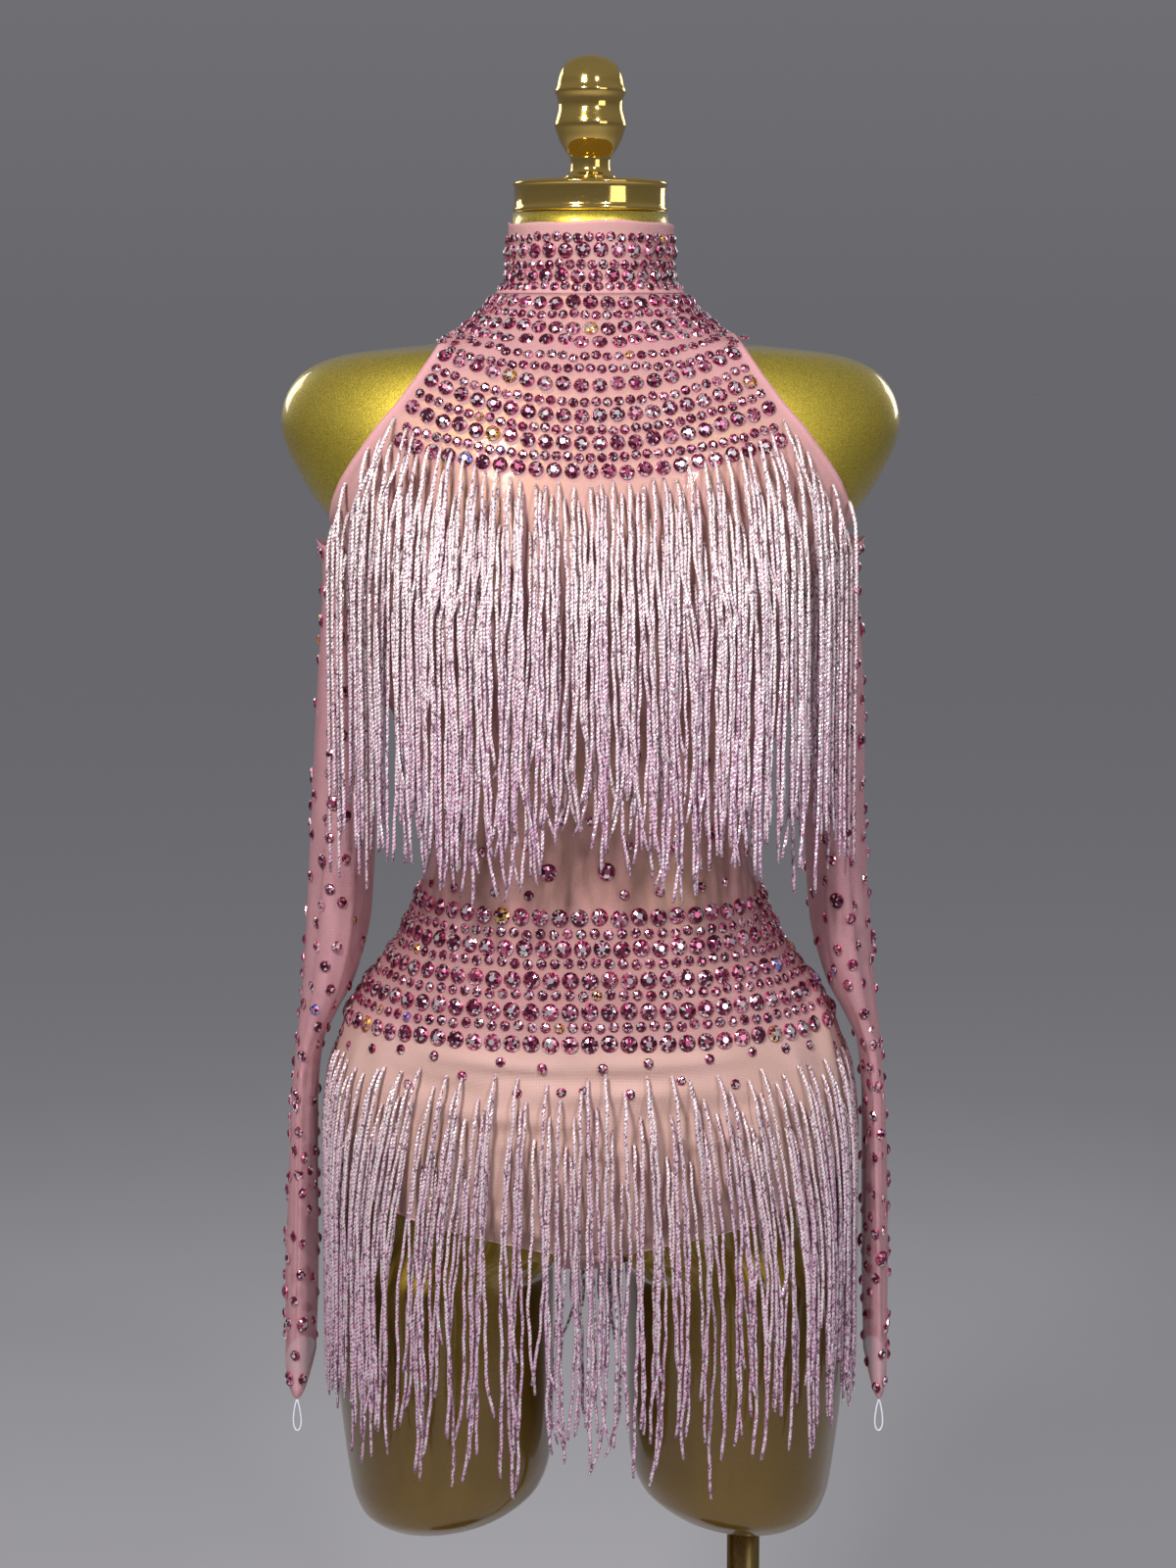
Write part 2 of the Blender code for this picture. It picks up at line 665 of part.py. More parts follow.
def build_finger_loop(name, table, side):
    """A cord loop that hangs from the cuff's point, as a bevelled curve."""
    cuff = table[-1]
    tip = np.array([
        side * (cuff.inner_x + cuff.outer_x) / 2,
        cuff.centre_y - cuff.half_depth + SLEEVE_WALL / 2,
        cuff.height - CUFF_POINT - LOOP_CORD - SEAM_GAP,
    ])
    curve = bpy.data.curves.new(name, "CURVE")
    curve.dimensions = "3D"
    curve.bevel_depth = LOOP_CORD
    curve.bevel_resolution = 0
    turns = np.linspace(0, 2 * math.pi, LOOP_POINTS, endpoint=False)
    spline = curve.splines.new("POLY")
    spline.points.add(len(turns) - 1)
    spline.use_cyclic_u = True
    for point, turn in zip(spline.points, turns):
        drop = LOOP_LENGTH / 2 * (1 - math.cos(turn))
        place = world(tip + np.array([LOOP_WIDTH / 2 * math.sin(turn), 0, -drop]))
        point.co = (*place, 1)
    curve.materials.append(material("loop"))
    bpy.context.scene.collection.objects.link(bpy.data.objects.new(name, curve))


def strand_centre(angle, root_height, height, out):
    """Where a strand hangs: it follows the cloth to the widest place above it, then falls straight."""
    above = np.linspace(root_height, height, BEND_SAMPLES)
    rings = torso_point(angle, above)
    x = rings[np.argmax(np.abs(rings[:, 0])), 0]
    y = rings[np.argmax(rings[:, 1] * -math.cos(angle)), 1]
    normal = torso_normal(angle, height)
    outward = np.array([normal[0], normal[1], 0.0])
    outward /= np.linalg.norm(outward)
    return np.array([x, y, height]) + outward * (CLOTH_EASE[0].clearance + WALL + STRIP_OFFSET + out), outward


def fringe_columns(fringe):
    """Angle and height of each strand's middle along its strip."""
    places = (np.arange(fringe.strands) + 0.5 + fringe.layer / LAYERS) / fringe.strands
    if not fringe.span:
        return 2 * math.pi * places, np.full(fringe.strands, fringe.height)
    return row_places(FRONT_EDGE, fringe.height, fringe.span * np.linspace(-1, 1, fringe.strands))


def build_fringe(fringe):
    """A narrow strip on the cloth with three-sided strands that grow out of its lower face."""
    chance = random.Random(fringe.name)
    angles, heights = fringe_columns(fringe)
    ahead, behind = torso_point(angles + ANGLE_STEP, heights), torso_point(angles - ANGLE_STEP, heights)
    half = STRAND_RADIUS * 2 * ANGLE_STEP / np.linalg.norm(ahead - behind, axis=1)
    column_angles = np.stack([angles - half, angles + half], axis=1).reshape(-1)
    column_heights = np.repeat(heights, 2)
    seat = WALL + STRIP_OFFSET
    even = np.ones(len(column_angles))
    top = over_torso(column_angles, column_heights + STRIP_HEIGHT, seat * even)
    inner = over_torso(column_angles, column_heights, seat * even)
    outer = over_torso(column_angles, column_heights, (seat + STRIP_DEPTH) * even)
    count = len(column_angles)
    points = list(np.concatenate([top, inner, outer]))
    closed = not fringe.span
    faces = []
    for i in range(count if closed else count - 1):
        j = (i + 1) % count
        faces.append((i, j, 2 * count + j, 2 * count + i))
        faces.append((j, i, count + i, count + j))
        if i % 2:
            faces.append((2 * count + i, 2 * count + j, count + j, count + i))
    if not closed:
        for i in (0, count - 1):
            faces.append((i, count + i, 2 * count + i))
    for index in range(fringe.strands):
        left, right = 2 * index, 2 * index + 1
        ring = [count + left, count + right, 2 * count + right, 2 * count + left]
        length = fringe.length + LENGTH_SPREAD * (chance.random() - LENGTH_MIDDLE)
        angle, root = angles[index], heights[index]
        sway = STRAND_SWAY * (chance.random() - 0.5) * 2 * math.cos(angle) ** 2
        drop = root - STRAND_FIRST_DROP
        stops = [drop] + [stop for stop in fringe.stops if stop < drop - STRAND_FIRST_DROP] + [root - length]
        layer = fringe.layer * (1 if fringe.span else math.cos(angle) ** 2)
        out = STRAND_FIRST_LAYER + STRAND_LAYER_STEP * layer
        for number, stop in enumerate(stops):
            centre, outward = strand_centre(angle, root, stop, out)
            side = np.array([-outward[1], outward[0], 0.0])
            centre = centre + side * sway * number / (len(stops) - 1)
            start = len(points)
            for turn in (-2 * math.pi / 3, 2 * math.pi / 3, 0.0):
                points.append(centre + (side * math.sin(turn) + outward * math.cos(turn)) * STRAND_RADIUS)
            p, q, r = start, start + 1, start + 2
            if number == 0:
                a, b, c, d = ring
                faces += [(a, b, q, p), (b, c, r, q), (c, d, r), (d, a, p, r)]
            else:
                a, b, c = ring
                faces += [(a, b, q, p), (b, c, r, q), (c, a, p, r)]
            ring = [p, q, r]
        faces.append(tuple(ring))
    return add_object(fringe.name, world(np.array(points)), faces, "fringe")


def torso_angles():
    """Ring angles of the form: those of the cloth's columns, and the two sides of the thigh gap."""
    inner = float(side_angle(THIGH_GAP_HALF, CROTCH_HEIGHT))
    right = np.linspace(0, math.pi, SIDE_COLUMNS)
    right[0] = inner
    right[-1] = math.pi - inner
    return np.concatenate([[0.0], right, [math.pi], -right[::-1]])


def thigh_ring(start, section, side):
    """The ring of a thigh at this section, each point in the same direction as in the starting ring."""
    across = (start[:, 0] * side - section.centre_x) / section.half_width
    along = (start[:, 1] - section.centre_y) / section.half_depth
    turn = np.arctan2(across, along)
    x = section.centre_x + section.half_width * np.sin(turn)
    y = section.centre_y + section.half_depth * np.cos(turn)
    bottom_share = np.clip((THIGH_TILT_TOP - section.height) / THIGH_TILT_DROP, 0, 1)
    z = section.height + THIGH_TILT * bottom_share * (section.centre_x - x)
    return np.stack([x * side, y, z], axis=-1)


def build_dress_form():
    """Torso rings from the neck to the crotch, a saddle between the thighs, and two thigh stumps."""
    angles = torso_angles()
    heights = column(FORM_SECTIONS, "height")
    rings = torso_point(angles[None, :], heights[:, None])
    count = len(angles)
    points = list(rings.reshape(-1, 3))
    numbers = np.arange(len(points)).reshape(len(heights), count)
    faces = [tuple(numbers[0])]
    for upper, lower in zip(numbers[:-1], numbers[1:]):
        faces += quads(upper, lower, closed=True)
    last = numbers[-1]
    right_front, right_back = last[1], last[SIDE_COLUMNS]
    left_back, left_front = last[SIDE_COLUMNS + 2], last[-1]
    saddle = [[left_front, last[0], right_front]]
    for row in range(1, SADDLE_ROWS):
        turn = math.pi * row / SADDLE_ROWS
        saddle.append([len(points) + i for i in range(3)])
        points += [saddle_point(turn, x, 0.0) for x in (-THIGH_GAP_HALF, 0.0, THIGH_GAP_HALF)]
    saddle.append([left_back, last[SIDE_COLUMNS + 1], right_back])
    for upper, lower in zip(saddle[:-1], saddle[1:]):
        faces += quads(upper, lower, closed=False)
    right_ring = list(last[1 : SIDE_COLUMNS + 1]) + [row[2] for row in saddle[-2:0:-1]]
    left_ring = list(last[SIDE_COLUMNS + 2 :]) + [row[0] for row in saddle[1:-1]]
    for ring, side in ((right_ring, 1), (left_ring, -1)):
        start = np.array([points[number] for number in ring])
        first = thigh_ring(start, THIGH_SECTIONS[0], side)
        levels = [(start + first) / 2, first]
        levels += [thigh_ring(start, section, side) for section in THIGH_SECTIONS[1:]]
        for level in levels:
            new = [len(points) + i for i in range(len(ring))]
            points += list(level)
            faces += quads(ring, new, closed=True)
            ring = new
        end = THIGH_SECTIONS[-1]
        points.append(np.array([side * end.centre_x, end.centre_y, THIGH_BOTTOM]))
        tip = len(points) - 1
        faces += [(ring[i], ring[(i + 1) % len(ring)], tip) for i in range(len(ring))]
    faces = [tuple(int(number) for number in face) for face in faces]
    form = add_object("dress_form", world(np.array(points)), faces, "form_gold")
    bore_bottom = SHOULDER_HEIGHT + THIGH_BOTTOM - POLE_BORE_OVERRUN
    bore_top = SHOULDER_HEIGHT + THIGH_BOTTOM + POLE_DEPTH_IN_THIGH + SEAM_GAP
    cutter = turned(
        "pole_bore", [(POLE_RADIUS + SEAM_GAP, bore_bottom), (POLE_RADIUS + SEAM_GAP, bore_top)],
        POLE_SIDES, POLE_X, POLE_Y, "brass",
    )
    cutter.hide_render = True
    cutter.display_type = "WIRE"
    bore = form.modifiers.new("pole bore", "BOOLEAN")
    bore.operation = "DIFFERENCE"
    bore.object = cutter
    return form


def turned(name, profile, sides, x, y, material_name, tip=None):
    """A solid turned about an upright axis from radius and height pairs, bottom to top."""
    turns = np.linspace(0, 2 * math.pi, sides, endpoint=False)
    points = []
    for radius, height in profile:
        points += [(x + radius * math.sin(turn), y - radius * math.cos(turn), height) for turn in turns]
    numbers = np.arange(len(points)).reshape(len(profile), sides)
    faces = [tuple(int(n) for n in numbers[0])]
    for lower, upper in zip(numbers[:-1], numbers[1:]):
        faces += [tuple(int(n) for n in face) for face in quads(lower, upper, closed=True)]
    if tip is None:
        faces.append(tuple(int(n) for n in numbers[-1]))
    else:
        points.append((x, y, tip))
        top = [int(n) for n in numbers[-1]]
        faces += [(top[i], top[(i + 1) % sides], len(points) - 1) for i in range(sides)]
    return add_object(name, points, faces, material_name)


def build_stand():
    """Neck cap, turned finial, pole, its socket and the round base."""
    cap_bottom = SHOULDER_HEIGHT + NECK_TOP + SEAM_GAP
    cap_top = cap_bottom + CAP_THICKNESS
    cap = [
        (CAP_RADIUS - CAP_BEVEL, cap_bottom),
        (CAP_RADIUS, cap_bottom + CAP_BEVEL),
        (CAP_RADIUS, cap_top - CAP_BEVEL),
        (CAP_RADIUS - CAP_BEVEL, cap_top),
    ]
    turned("neck_cap", cap, CAP_SIDES, 0.0, NECK_CENTRE_Y, "bright_gold")
    finial = [(point.radius, SHOULDER_HEIGHT + point.height) for point in FINIAL_PROFILE]
    turned("finial", finial, FINIAL_SIDES, 0.0, NECK_CENTRE_Y, "bright_gold", tip=SHOULDER_HEIGHT + FINIAL_TOP)
    pole_top = SHOULDER_HEIGHT + THIGH_BOTTOM + POLE_DEPTH_IN_THIGH
    pole = [(POLE_RADIUS, BASE_THICKNESS + SEAM_GAP), (POLE_RADIUS, pole_top)]
    turned("pole", pole, POLE_SIDES, POLE_X, POLE_Y, "brass")
    base = [
        (BASE_RADIUS, 0.0),
        (BASE_RADIUS, BASE_THICKNESS - BASE_BEVEL),
        (BASE_RADIUS - BASE_BEVEL, BASE_THICKNESS),
    ]
    turned("base", base, BASE_SIDES, 0.0, 0.0, "brass")


def build_pole_socket():
    """A ring round the foot of the pole, on the base."""
    turns = np.linspace(0, 2 * math.pi, POLE_SIDES, endpoint=False)
    bottom = BASE_THICKNESS + SEAM_GAP
    bore = POLE_RADIUS + SEAM_GAP
    section = [
        (bore, bottom),
        (SOCKET_RADIUS, bottom),
        (SOCKET_RADIUS, bottom + SOCKET_HEIGHT / 2),
        (SOCKET_RADIUS - SOCKET_TAPER, bottom + SOCKET_HEIGHT),
        (bore, bottom + SOCKET_HEIGHT),
    ]
    points = [
        (POLE_X + radius * math.sin(turn), POLE_Y - radius * math.cos(turn), height)
        for turn in turns
        for radius, height in section
    ]
    numbers = np.arange(len(points)).reshape(POLE_SIDES, len(section))
    faces = []
    for index in range(POLE_SIDES):
        faces += quads(numbers[index], numbers[(index + 1) % POLE_SIDES], closed=True)
    faces = [tuple(int(number) for number in face) for face in faces]
    add_object("pole_socket", points, faces, "brass")


def main():
    clear_scene()
    build_dress_form()
    build_stand()
    build_pole_socket()
    build_collar()
    build_body()
    build_gusset()
    build_sleeve("sleeve_left", LEFT_SLEEVE, -1)
    build_sleeve("sleeve_right", RIGHT_SLEEVE, 1)
    build_finger_loop("finger_loop_left", LEFT_SLEEVE, -1)
    build_finger_loop("finger_loop_right", RIGHT_SLEEVE, 1)
    for fringe in FRINGES:
        build_fringe(fringe)


if __name__ == "__main__":
    main()
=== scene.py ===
"""Looks of a fringe dance leotard on its dress form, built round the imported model.

Metres, +Z up, and the front faces -Y. Heights are measured from the form's shoulder line. An angle of 0 is the
centre front, a quarter turn is the side at +X and a half turn is the centre back.
"""

import logging
import math
from dataclasses import dataclass
from enum import Enum
from typing import Any, Callable, ClassVar, Sequence

import bmesh
import bpy
import numpy as np
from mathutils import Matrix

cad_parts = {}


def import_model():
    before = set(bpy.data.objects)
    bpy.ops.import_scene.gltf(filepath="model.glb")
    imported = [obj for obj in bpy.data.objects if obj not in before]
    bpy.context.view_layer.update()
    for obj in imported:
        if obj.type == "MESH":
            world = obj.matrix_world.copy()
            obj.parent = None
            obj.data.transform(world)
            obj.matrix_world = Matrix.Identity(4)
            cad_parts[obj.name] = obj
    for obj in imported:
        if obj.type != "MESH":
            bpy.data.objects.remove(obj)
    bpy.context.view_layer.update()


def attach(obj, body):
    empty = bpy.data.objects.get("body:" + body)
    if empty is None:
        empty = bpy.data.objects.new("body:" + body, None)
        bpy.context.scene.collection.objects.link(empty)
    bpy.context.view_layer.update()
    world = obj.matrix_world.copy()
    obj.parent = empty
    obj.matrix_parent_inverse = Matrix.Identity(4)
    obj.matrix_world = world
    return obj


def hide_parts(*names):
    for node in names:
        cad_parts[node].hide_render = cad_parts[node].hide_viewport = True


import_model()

Array = np.ndarray
log = logging.getLogger("leotard")

BODY = "root"
FULL_TURN = 2 * math.pi
SHOULDER_HEIGHT = 1.390
SEAM_GAP = 0.0003


# Tables of sizes


def smooth_between(keys: Sequence[float], values: Sequence[float], wanted: Array) -> Array:
    """Values between keys on cubic curves whose slope at a key is the harmonic mean of the slopes beside it.

    Args:
        keys: places at which the values are known.
        values: the value at each key.
        wanted: places to read.

    Returns:
        The values at the wanted places, which never overshoot the known ones.
    """
    order = np.argsort(keys)
    x = np.asarray(keys, float)[order]
    y = np.asarray(values, float)[order]
    wanted = np.clip(wanted, x[0], x[-1])
    steps = np.diff(x)
    slopes = np.diff(y) / steps
    before, after = slopes[:-1], slopes[1:]
    total = np.where(before + after == 0, 1, before + after)
    mean = np.where(before * after > 0, 2 * before * after / total, 0)
    tangents = np.concatenate([slopes[:1], mean, slopes[-1:]])
    place = np.clip(np.searchsorted(x, wanted) - 1, 0, len(steps) - 1)
    t = (wanted - x[place]) / steps[place]
    return (
        y[place] * (1 + 2 * t) * (1 - t) ** 2
        + y[place + 1] * t * t * (3 - 2 * t)
        + steps[place] * t * (1 - t) * (tangents[place] * (1 - t) - tangents[place + 1] * t)
    )


@dataclass(frozen=True)
class Table:
    """Rows of sizes with named columns. The first column is the one that the rows are looked up by."""

    columns: tuple[str, ...]
    rows: tuple[tuple[float, ...], ...]

    def column(self, name: str) -> Array:
        """All the values of one column."""
        return np.array([row[self.columns.index(name)] for row in self.rows])

    def at(self, name: str, key: Array) -> Array:
        """The column's value at these keys, on smooth curves between the rows."""
        return smooth_between(self.column(self.columns[0]), self.column(name), np.asarray(key, float))

    def linear(self, name: str, key: Array) -> Array:
        """The column's value at these keys, on straight lines between the rows."""
        keys = self.column(self.columns[0])
        order = np.argsort(keys)
        return np.interp(key, keys[order], self.column(name)[order])


FORM_RINGS = Table(
    ("height", "half_width", "front", "back", "widest_y", "squareness"),
    (
        (0.083, 0.050, 0.038, 0.062, 0.012, 2.0),
        (0.042, 0.050, 0.038, 0.062, 0.012, 2.0),
        (0.031, 0.058, 0.042, 0.064, 0.012, 2.0),
        (0.020, 0.068, 0.047, 0.067, 0.012, 2.0),
        (0.0125, 0.077, 0.051, 0.069, 0.012, 2.0),
        (0.006, 0.086, 0.055, 0.071, 0.011, 2.0),
        (0.001, 0.097, 0.058, 0.073, 0.011, 2.0),
        (-0.002, 0.125, 0.061, 0.075, 0.010, 2.0),
        (-0.006, 0.158, 0.064, 0.077, 0.010, 2.0),
        (-0.012, 0.176, 0.068, 0.080, 0.010, 2.0),
        (-0.020, 0.188, 0.073, 0.083, 0.010, 2.0),
        (-0.034, 0.197, 0.080, 0.088, 0.008, 2.0),
        (-0.050, 0.200, 0.087, 0.093, 0.007, 2.0),
        (-0.066, 0.196, 0.093, 0.097, 0.005, 2.0),
        (-0.082, 0.188, 0.098, 0.100, 0.004, 2.05),
        (-0.100, 0.177, 0.103, 0.101, 0.002, 2.1),
        (-0.118, 0.162, 0.108, 0.101, 0.000, 2.15),
        (-0.134, 0.1535, 0.112, 0.100, 0.000, 2.2),
        (-0.152, 0.149, 0.116, 0.099, 0.000, 2.25),
        (-0.172, 0.146, 0.117, 0.098, 0.000, 2.3),
        (-0.196, 0.142, 0.114, 0.095, 0.000, 2.3),
        (-0.218, 0.134, 0.106, 0.091, 0.000, 2.3),
        (-0.240, 0.123, 0.098, 0.086, 0.000, 2.3),
        (-0.264, 0.111, 0.090, 0.080, 0.000, 2.3),
        (-0.288, 0.102, 0.085, 0.075, 0.000, 2.3),
        (-0.310, 0.099, 0.083, 0.073, 0.000, 2.3),
        (-0.336, 0.103, 0.084, 0.076, 0.001, 2.3),
        (-0.362, 0.112, 0.087, 0.083, 0.002, 2.3),
        (-0.390, 0.125, 0.091, 0.093, 0.003, 2.25),
        (-0.414, 0.143, 0.095, 0.102, 0.004, 2.2),
        (-0.436, 0.157, 0.098, 0.109, 0.005, 2.2),
        (-0.460, 0.1645, 0.101, 0.115, 0.005, 2.2),
        (-0.488, 0.1690, 0.103, 0.119, 0.005, 2.2),
        (-0.516, 0.1710, 0.103, 0.121, 0.005, 2.2),
        (-0.546, 0.1710, 0.098, 0.116, 0.006, 2.2),
        (-0.575, 0.1700, 0.087, 0.104, 0.007, 2.2),
    ),
)
CROTCH_HEIGHT = -0.575
CROTCH_SAG = 0.021
THIGH_GAP_HALF = 0.024
BUST_CENTRE_X = 0.066
BUST_HEIGHT = -0.165
BUST_SWELL = 0.008
BUST_SPREAD = 0.040
THIGH_TILT = 0.13
THIGH_TILT_TOP = -0.690
THIGH_TILT_DROP = 0.08
THIGH_BOTTOM = -0.788

THIGH_RINGS = Table(
    ("height", "centre_x", "half_width", "centre_y", "half_depth"),
    (
        (-0.610, 0.0985, 0.0740, 0.0075, 0.0900),
        (-0.650, 0.0980, 0.0735, 0.0070, 0.0860),
        (-0.690, 0.0970, 0.0725, 0.0065, 0.0820),
        (-0.725, 0.0955, 0.0700, 0.0060, 0.0785),
        (-0.750, 0.0945, 0.0672, 0.0060, 0.0755),
        (-0.766, 0.0945, 0.0620, 0.0060, 0.0700),
        (-0.778, 0.0950, 0.0500, 0.0060, 0.0570),
        (-0.785, 0.0960, 0.0330, 0.0060, 0.0370),
    ),
)

CLOTH_EASE = Table(
    ("height", "clearance"),
    (
        (0.083, 0.0018),
        (0.008, 0.0022),
        (-0.002, 0.0030),
        (-0.018, 0.0030),
        (-0.045, 0.0022),
        (-0.148, 0.0020),
        (CROTCH_HEIGHT, 0.0020),
    ),
)

EDGE_COLUMNS = ("row", "height", "half_width")
FRONT_EDGE = Table(
    EDGE_COLUMNS,
    (
        (0.0300, 0.0300, 0.100),
        (-0.0200, 0.0010, 0.092),
        (-0.0300, -0.0060, 0.096),
        (-0.0520, -0.0200, 0.106),
        (-0.0820, -0.0380, 0.120),
        (-0.0910, -0.0500, 0.131),
        (-0.1000, -0.0620, 0.140),
        (-0.1080, -0.0730, 0.148),
        (-0.1150, -0.0840, 0.155),
        (-0.1220, -0.0955, 0.160),
        (-0.1300, -0.1070, 0.163),
        (-0.1340, -0.1150, 0.1625),
        (-0.1380, -0.1225, 0.1615),
        (-0.1430, -0.1280, 0.200),
        (-0.1600, -0.1600, 0.200),
        (-0.5000, -0.5000, 0.200),
        (-0.5220, -0.5160, 0.200),
        (-0.5280, -0.5210, 0.1695),
        (-0.5340, -0.5270, 0.166),
        (-0.5410, -0.5340, 0.159),
        (-0.5480, -0.5420, 0.148),
        (-0.5540, -0.5490, 0.133),
        (-0.5600, -0.5555, 0.113),
        (-0.5650, -0.5615, 0.086),
        (-0.5700, -0.5675, 0.054),
        (CROTCH_HEIGHT, CROTCH_HEIGHT, 0.021),
    ),
)
BACK_EDGE = Table(
    EDGE_COLUMNS,
    (
        (0.0300, 0.0300, 0.100),
        (-0.0200, 0.0010, 0.092),
        (-0.0300, -0.0060, 0.096),
        (-0.0520, -0.0200, 0.108),
        (-0.0820, -0.0380, 0.124),
        (-0.0910, -0.0500, 0.134),
        (-0.1000, -0.0620, 0.143),
        (-0.1080, -0.0730, 0.150),
        (-0.1150, -0.0840, 0.157),
        (-0.1220, -0.0955, 0.162),
        (-0.1300, -0.1070, 0.1645),
        (-0.1340, -0.1150, 0.1635),
        (-0.1380, -0.1225, 0.1620),
        (-0.1430, -0.1280, 0.200),
        (-0.1600, -0.1600, 0.200),
        (-0.5000, -0.5000, 0.200),
        (-0.5220, -0.5160, 0.200),
        (-0.5280, -0.5220, 0.170),
        (-0.5340, -0.5290, 0.167),
        (-0.5410, -0.5370, 0.161),
        (-0.5480, -0.5450, 0.151),
        (-0.5540, -0.5520, 0.137),
        (-0.5600, -0.5585, 0.117),
        (-0.5650, -0.5640, 0.090),
        (-0.5700, -0.5690, 0.057),
        (CROTCH_HEIGHT, CROTCH_HEIGHT, 0.021),
    ),
)

YOKE_EDGE = Table(
    EDGE_COLUMNS,
    (
        (0.0300, 0.0300, 0.1000),
        (-0.0200, 0.0010, 0.0920),
        (-0.0300, -0.0080, 0.0975),
        (-0.0440, -0.0200, 0.1060),
        (-0.0535, -0.0280, 0.1120),
        (-0.0610, -0.0360, 0.1185),
        (-0.0694, -0.0460, 0.1270),
        (-0.0778, -0.0530, 0.1330),
    ),
)

SLEEVE_COLUMNS = ("height", "inner_x", "outer_x", "half_depth", "centre_y")
LEFT_SLEEVE = Table(
    SLEEVE_COLUMNS,
    (
        (-0.126, 0.1622, 0.1745, 0.040, 0.014),
        (-0.140, 0.1585, 0.1735, 0.046, 0.014),
        (-0.165, 0.1535, 0.1745, 0.051, 0.015),
        (-0.200, 0.1490, 0.1770, 0.055, 0.015),
        (-0.250, 0.1440, 0.1805, 0.057, 0.016),
        (-0.310, 0.1420, 0.1840, 0.057, 0.016),
        (-0.370, 0.1450, 0.1875, 0.055, 0.016),
        (-0.415, 0.1560, 0.1905, 0.051, 0.016),
        (-0.440, 0.1690, 0.1930, 0.048, 0.016),
        (-0.462, 0.1785, 0.1955, 0.046, 0.015),
        (-0.500, 0.1820, 0.1990, 0.043, 0.014),
        (-0.560, 0.1825, 0.2020, 0.039, 0.012),
        (-0.620, 0.1830, 0.2045, 0.035, 0.010),
        (-0.672, 0.1850, 0.2050, 0.033, 0.008),
    ),
)
RIGHT_SLEEVE = Table(
    SLEEVE_COLUMNS,
    (
        (-0.124, 0.1635, 0.1755, 0.040, 0.014),
        (-0.140, 0.1585, 0.1735, 0.046, 0.014),
        (-0.165, 0.1535, 0.1735, 0.051, 0.015),
        (-0.200, 0.1490, 0.1750, 0.055, 0.015),
        (-0.250, 0.1440, 0.1780, 0.057, 0.016),
        (-0.310, 0.1420, 0.1810, 0.057, 0.016),
        (-0.370, 0.1450, 0.1850, 0.055, 0.016),
        (-0.415, 0.1560, 0.1885, 0.051, 0.016),
        (-0.440, 0.1690, 0.1910, 0.048, 0.016),
        (-0.462, 0.1785, 0.1930, 0.046, 0.015),
        (-0.500, 0.1820, 0.1965, 0.043, 0.014),
        (-0.560, 0.1825, 0.1985, 0.039, 0.012),
        (-0.620, 0.1830, 0.1995, 0.035, 0.010),
        (-0.672, 0.1845, 0.1995, 0.033, 0.008),
    ),
)
CUFF_POINT = 0.022
CUFF_START = -0.620

FOLD_COLUMNS = ("x0", "z0", "x1", "z1", "width", "depth")
FRONT_FOLDS = Table(
    FOLD_COLUMNS,
    (
        (-0.105, -0.447, -0.020, -0.4525, 0.0045, 0.0016),
        (-0.062, -0.4570, 0.050, -0.4605, 0.0040, -0.0015),
        (0.000, -0.4500, 0.095, -0.4480, 0.0045, 0.0016),
        (-0.034, -0.4690, 0.085, -0.4660, 0.0050, 0.0014),
        (-0.124, -0.4620, -0.070, -0.4690, 0.0050, -0.0013),
        (-0.100, -0.4800, 0.000, -0.4880, 0.0050, 0.0015),
        (0.020, -0.4850, 0.120, -0.4770, 0.0050, -0.0013),
        (-0.060, -0.5010, 0.030, -0.5050, 0.0055, 0.0014),
        (0.050, -0.5010, 0.130, -0.4950, 0.0045, 0.0015),
        (-0.050, -0.2620, -0.066, -0.3520, 0.0038, 0.0024),
        (-0.058, -0.2620, -0.074, -0.3520, 0.0038, -0.0015),
        (0.058, -0.2560, 0.078, -0.3500, 0.0038, 0.0024),
        (0.068, -0.2620, 0.086, -0.3500, 0.0040, -0.0015),
        (-0.084, -0.3000, -0.092, -0.3500, 0.0040, 0.0016),
        (0.088, -0.2950, 0.096, -0.3500, 0.0040, 0.0018),
        (-0.015, -0.2400, -0.030, -0.3300, 0.0070, -0.0013),
        (0.025, -0.2350, 0.034, -0.3300, 0.0070, 0.0012),
        (0.140, -0.4000, 0.160, -0.5000, 0.0040, 0.0024),
        (0.150, -0.4000, 0.167, -0.4950, 0.0035, -0.0016),
        (0.128, -0.4480, 0.142, -0.5000, 0.0040, 0.0014),
        (-0.146, -0.4480, -0.158, -0.5000, 0.0045, 0.0018),
        (-0.132, -0.1180, -0.085, -0.1500, 0.0060, 0.0016),
        (0.134, -0.1160, 0.088, -0.1500, 0.0060, 0.0016),
        (-0.140, -0.1400, -0.100, -0.1850, 0.0060, -0.0012),
        (0.140, -0.1450, 0.098, -0.1900, 0.0060, 0.0014),
        (-0.060, -0.5480, -0.020, -0.5650, 0.0050, 0.0014),
        (0.062, -0.5450, 0.022, -0.5660, 0.0050, 0.0014),
        (-0.104, -0.5180, -0.050, -0.5520, 0.0060, -0.0012),
        (0.108, -0.5130, 0.052, -0.5500, 0.0060, 0.0012),
    ),
)
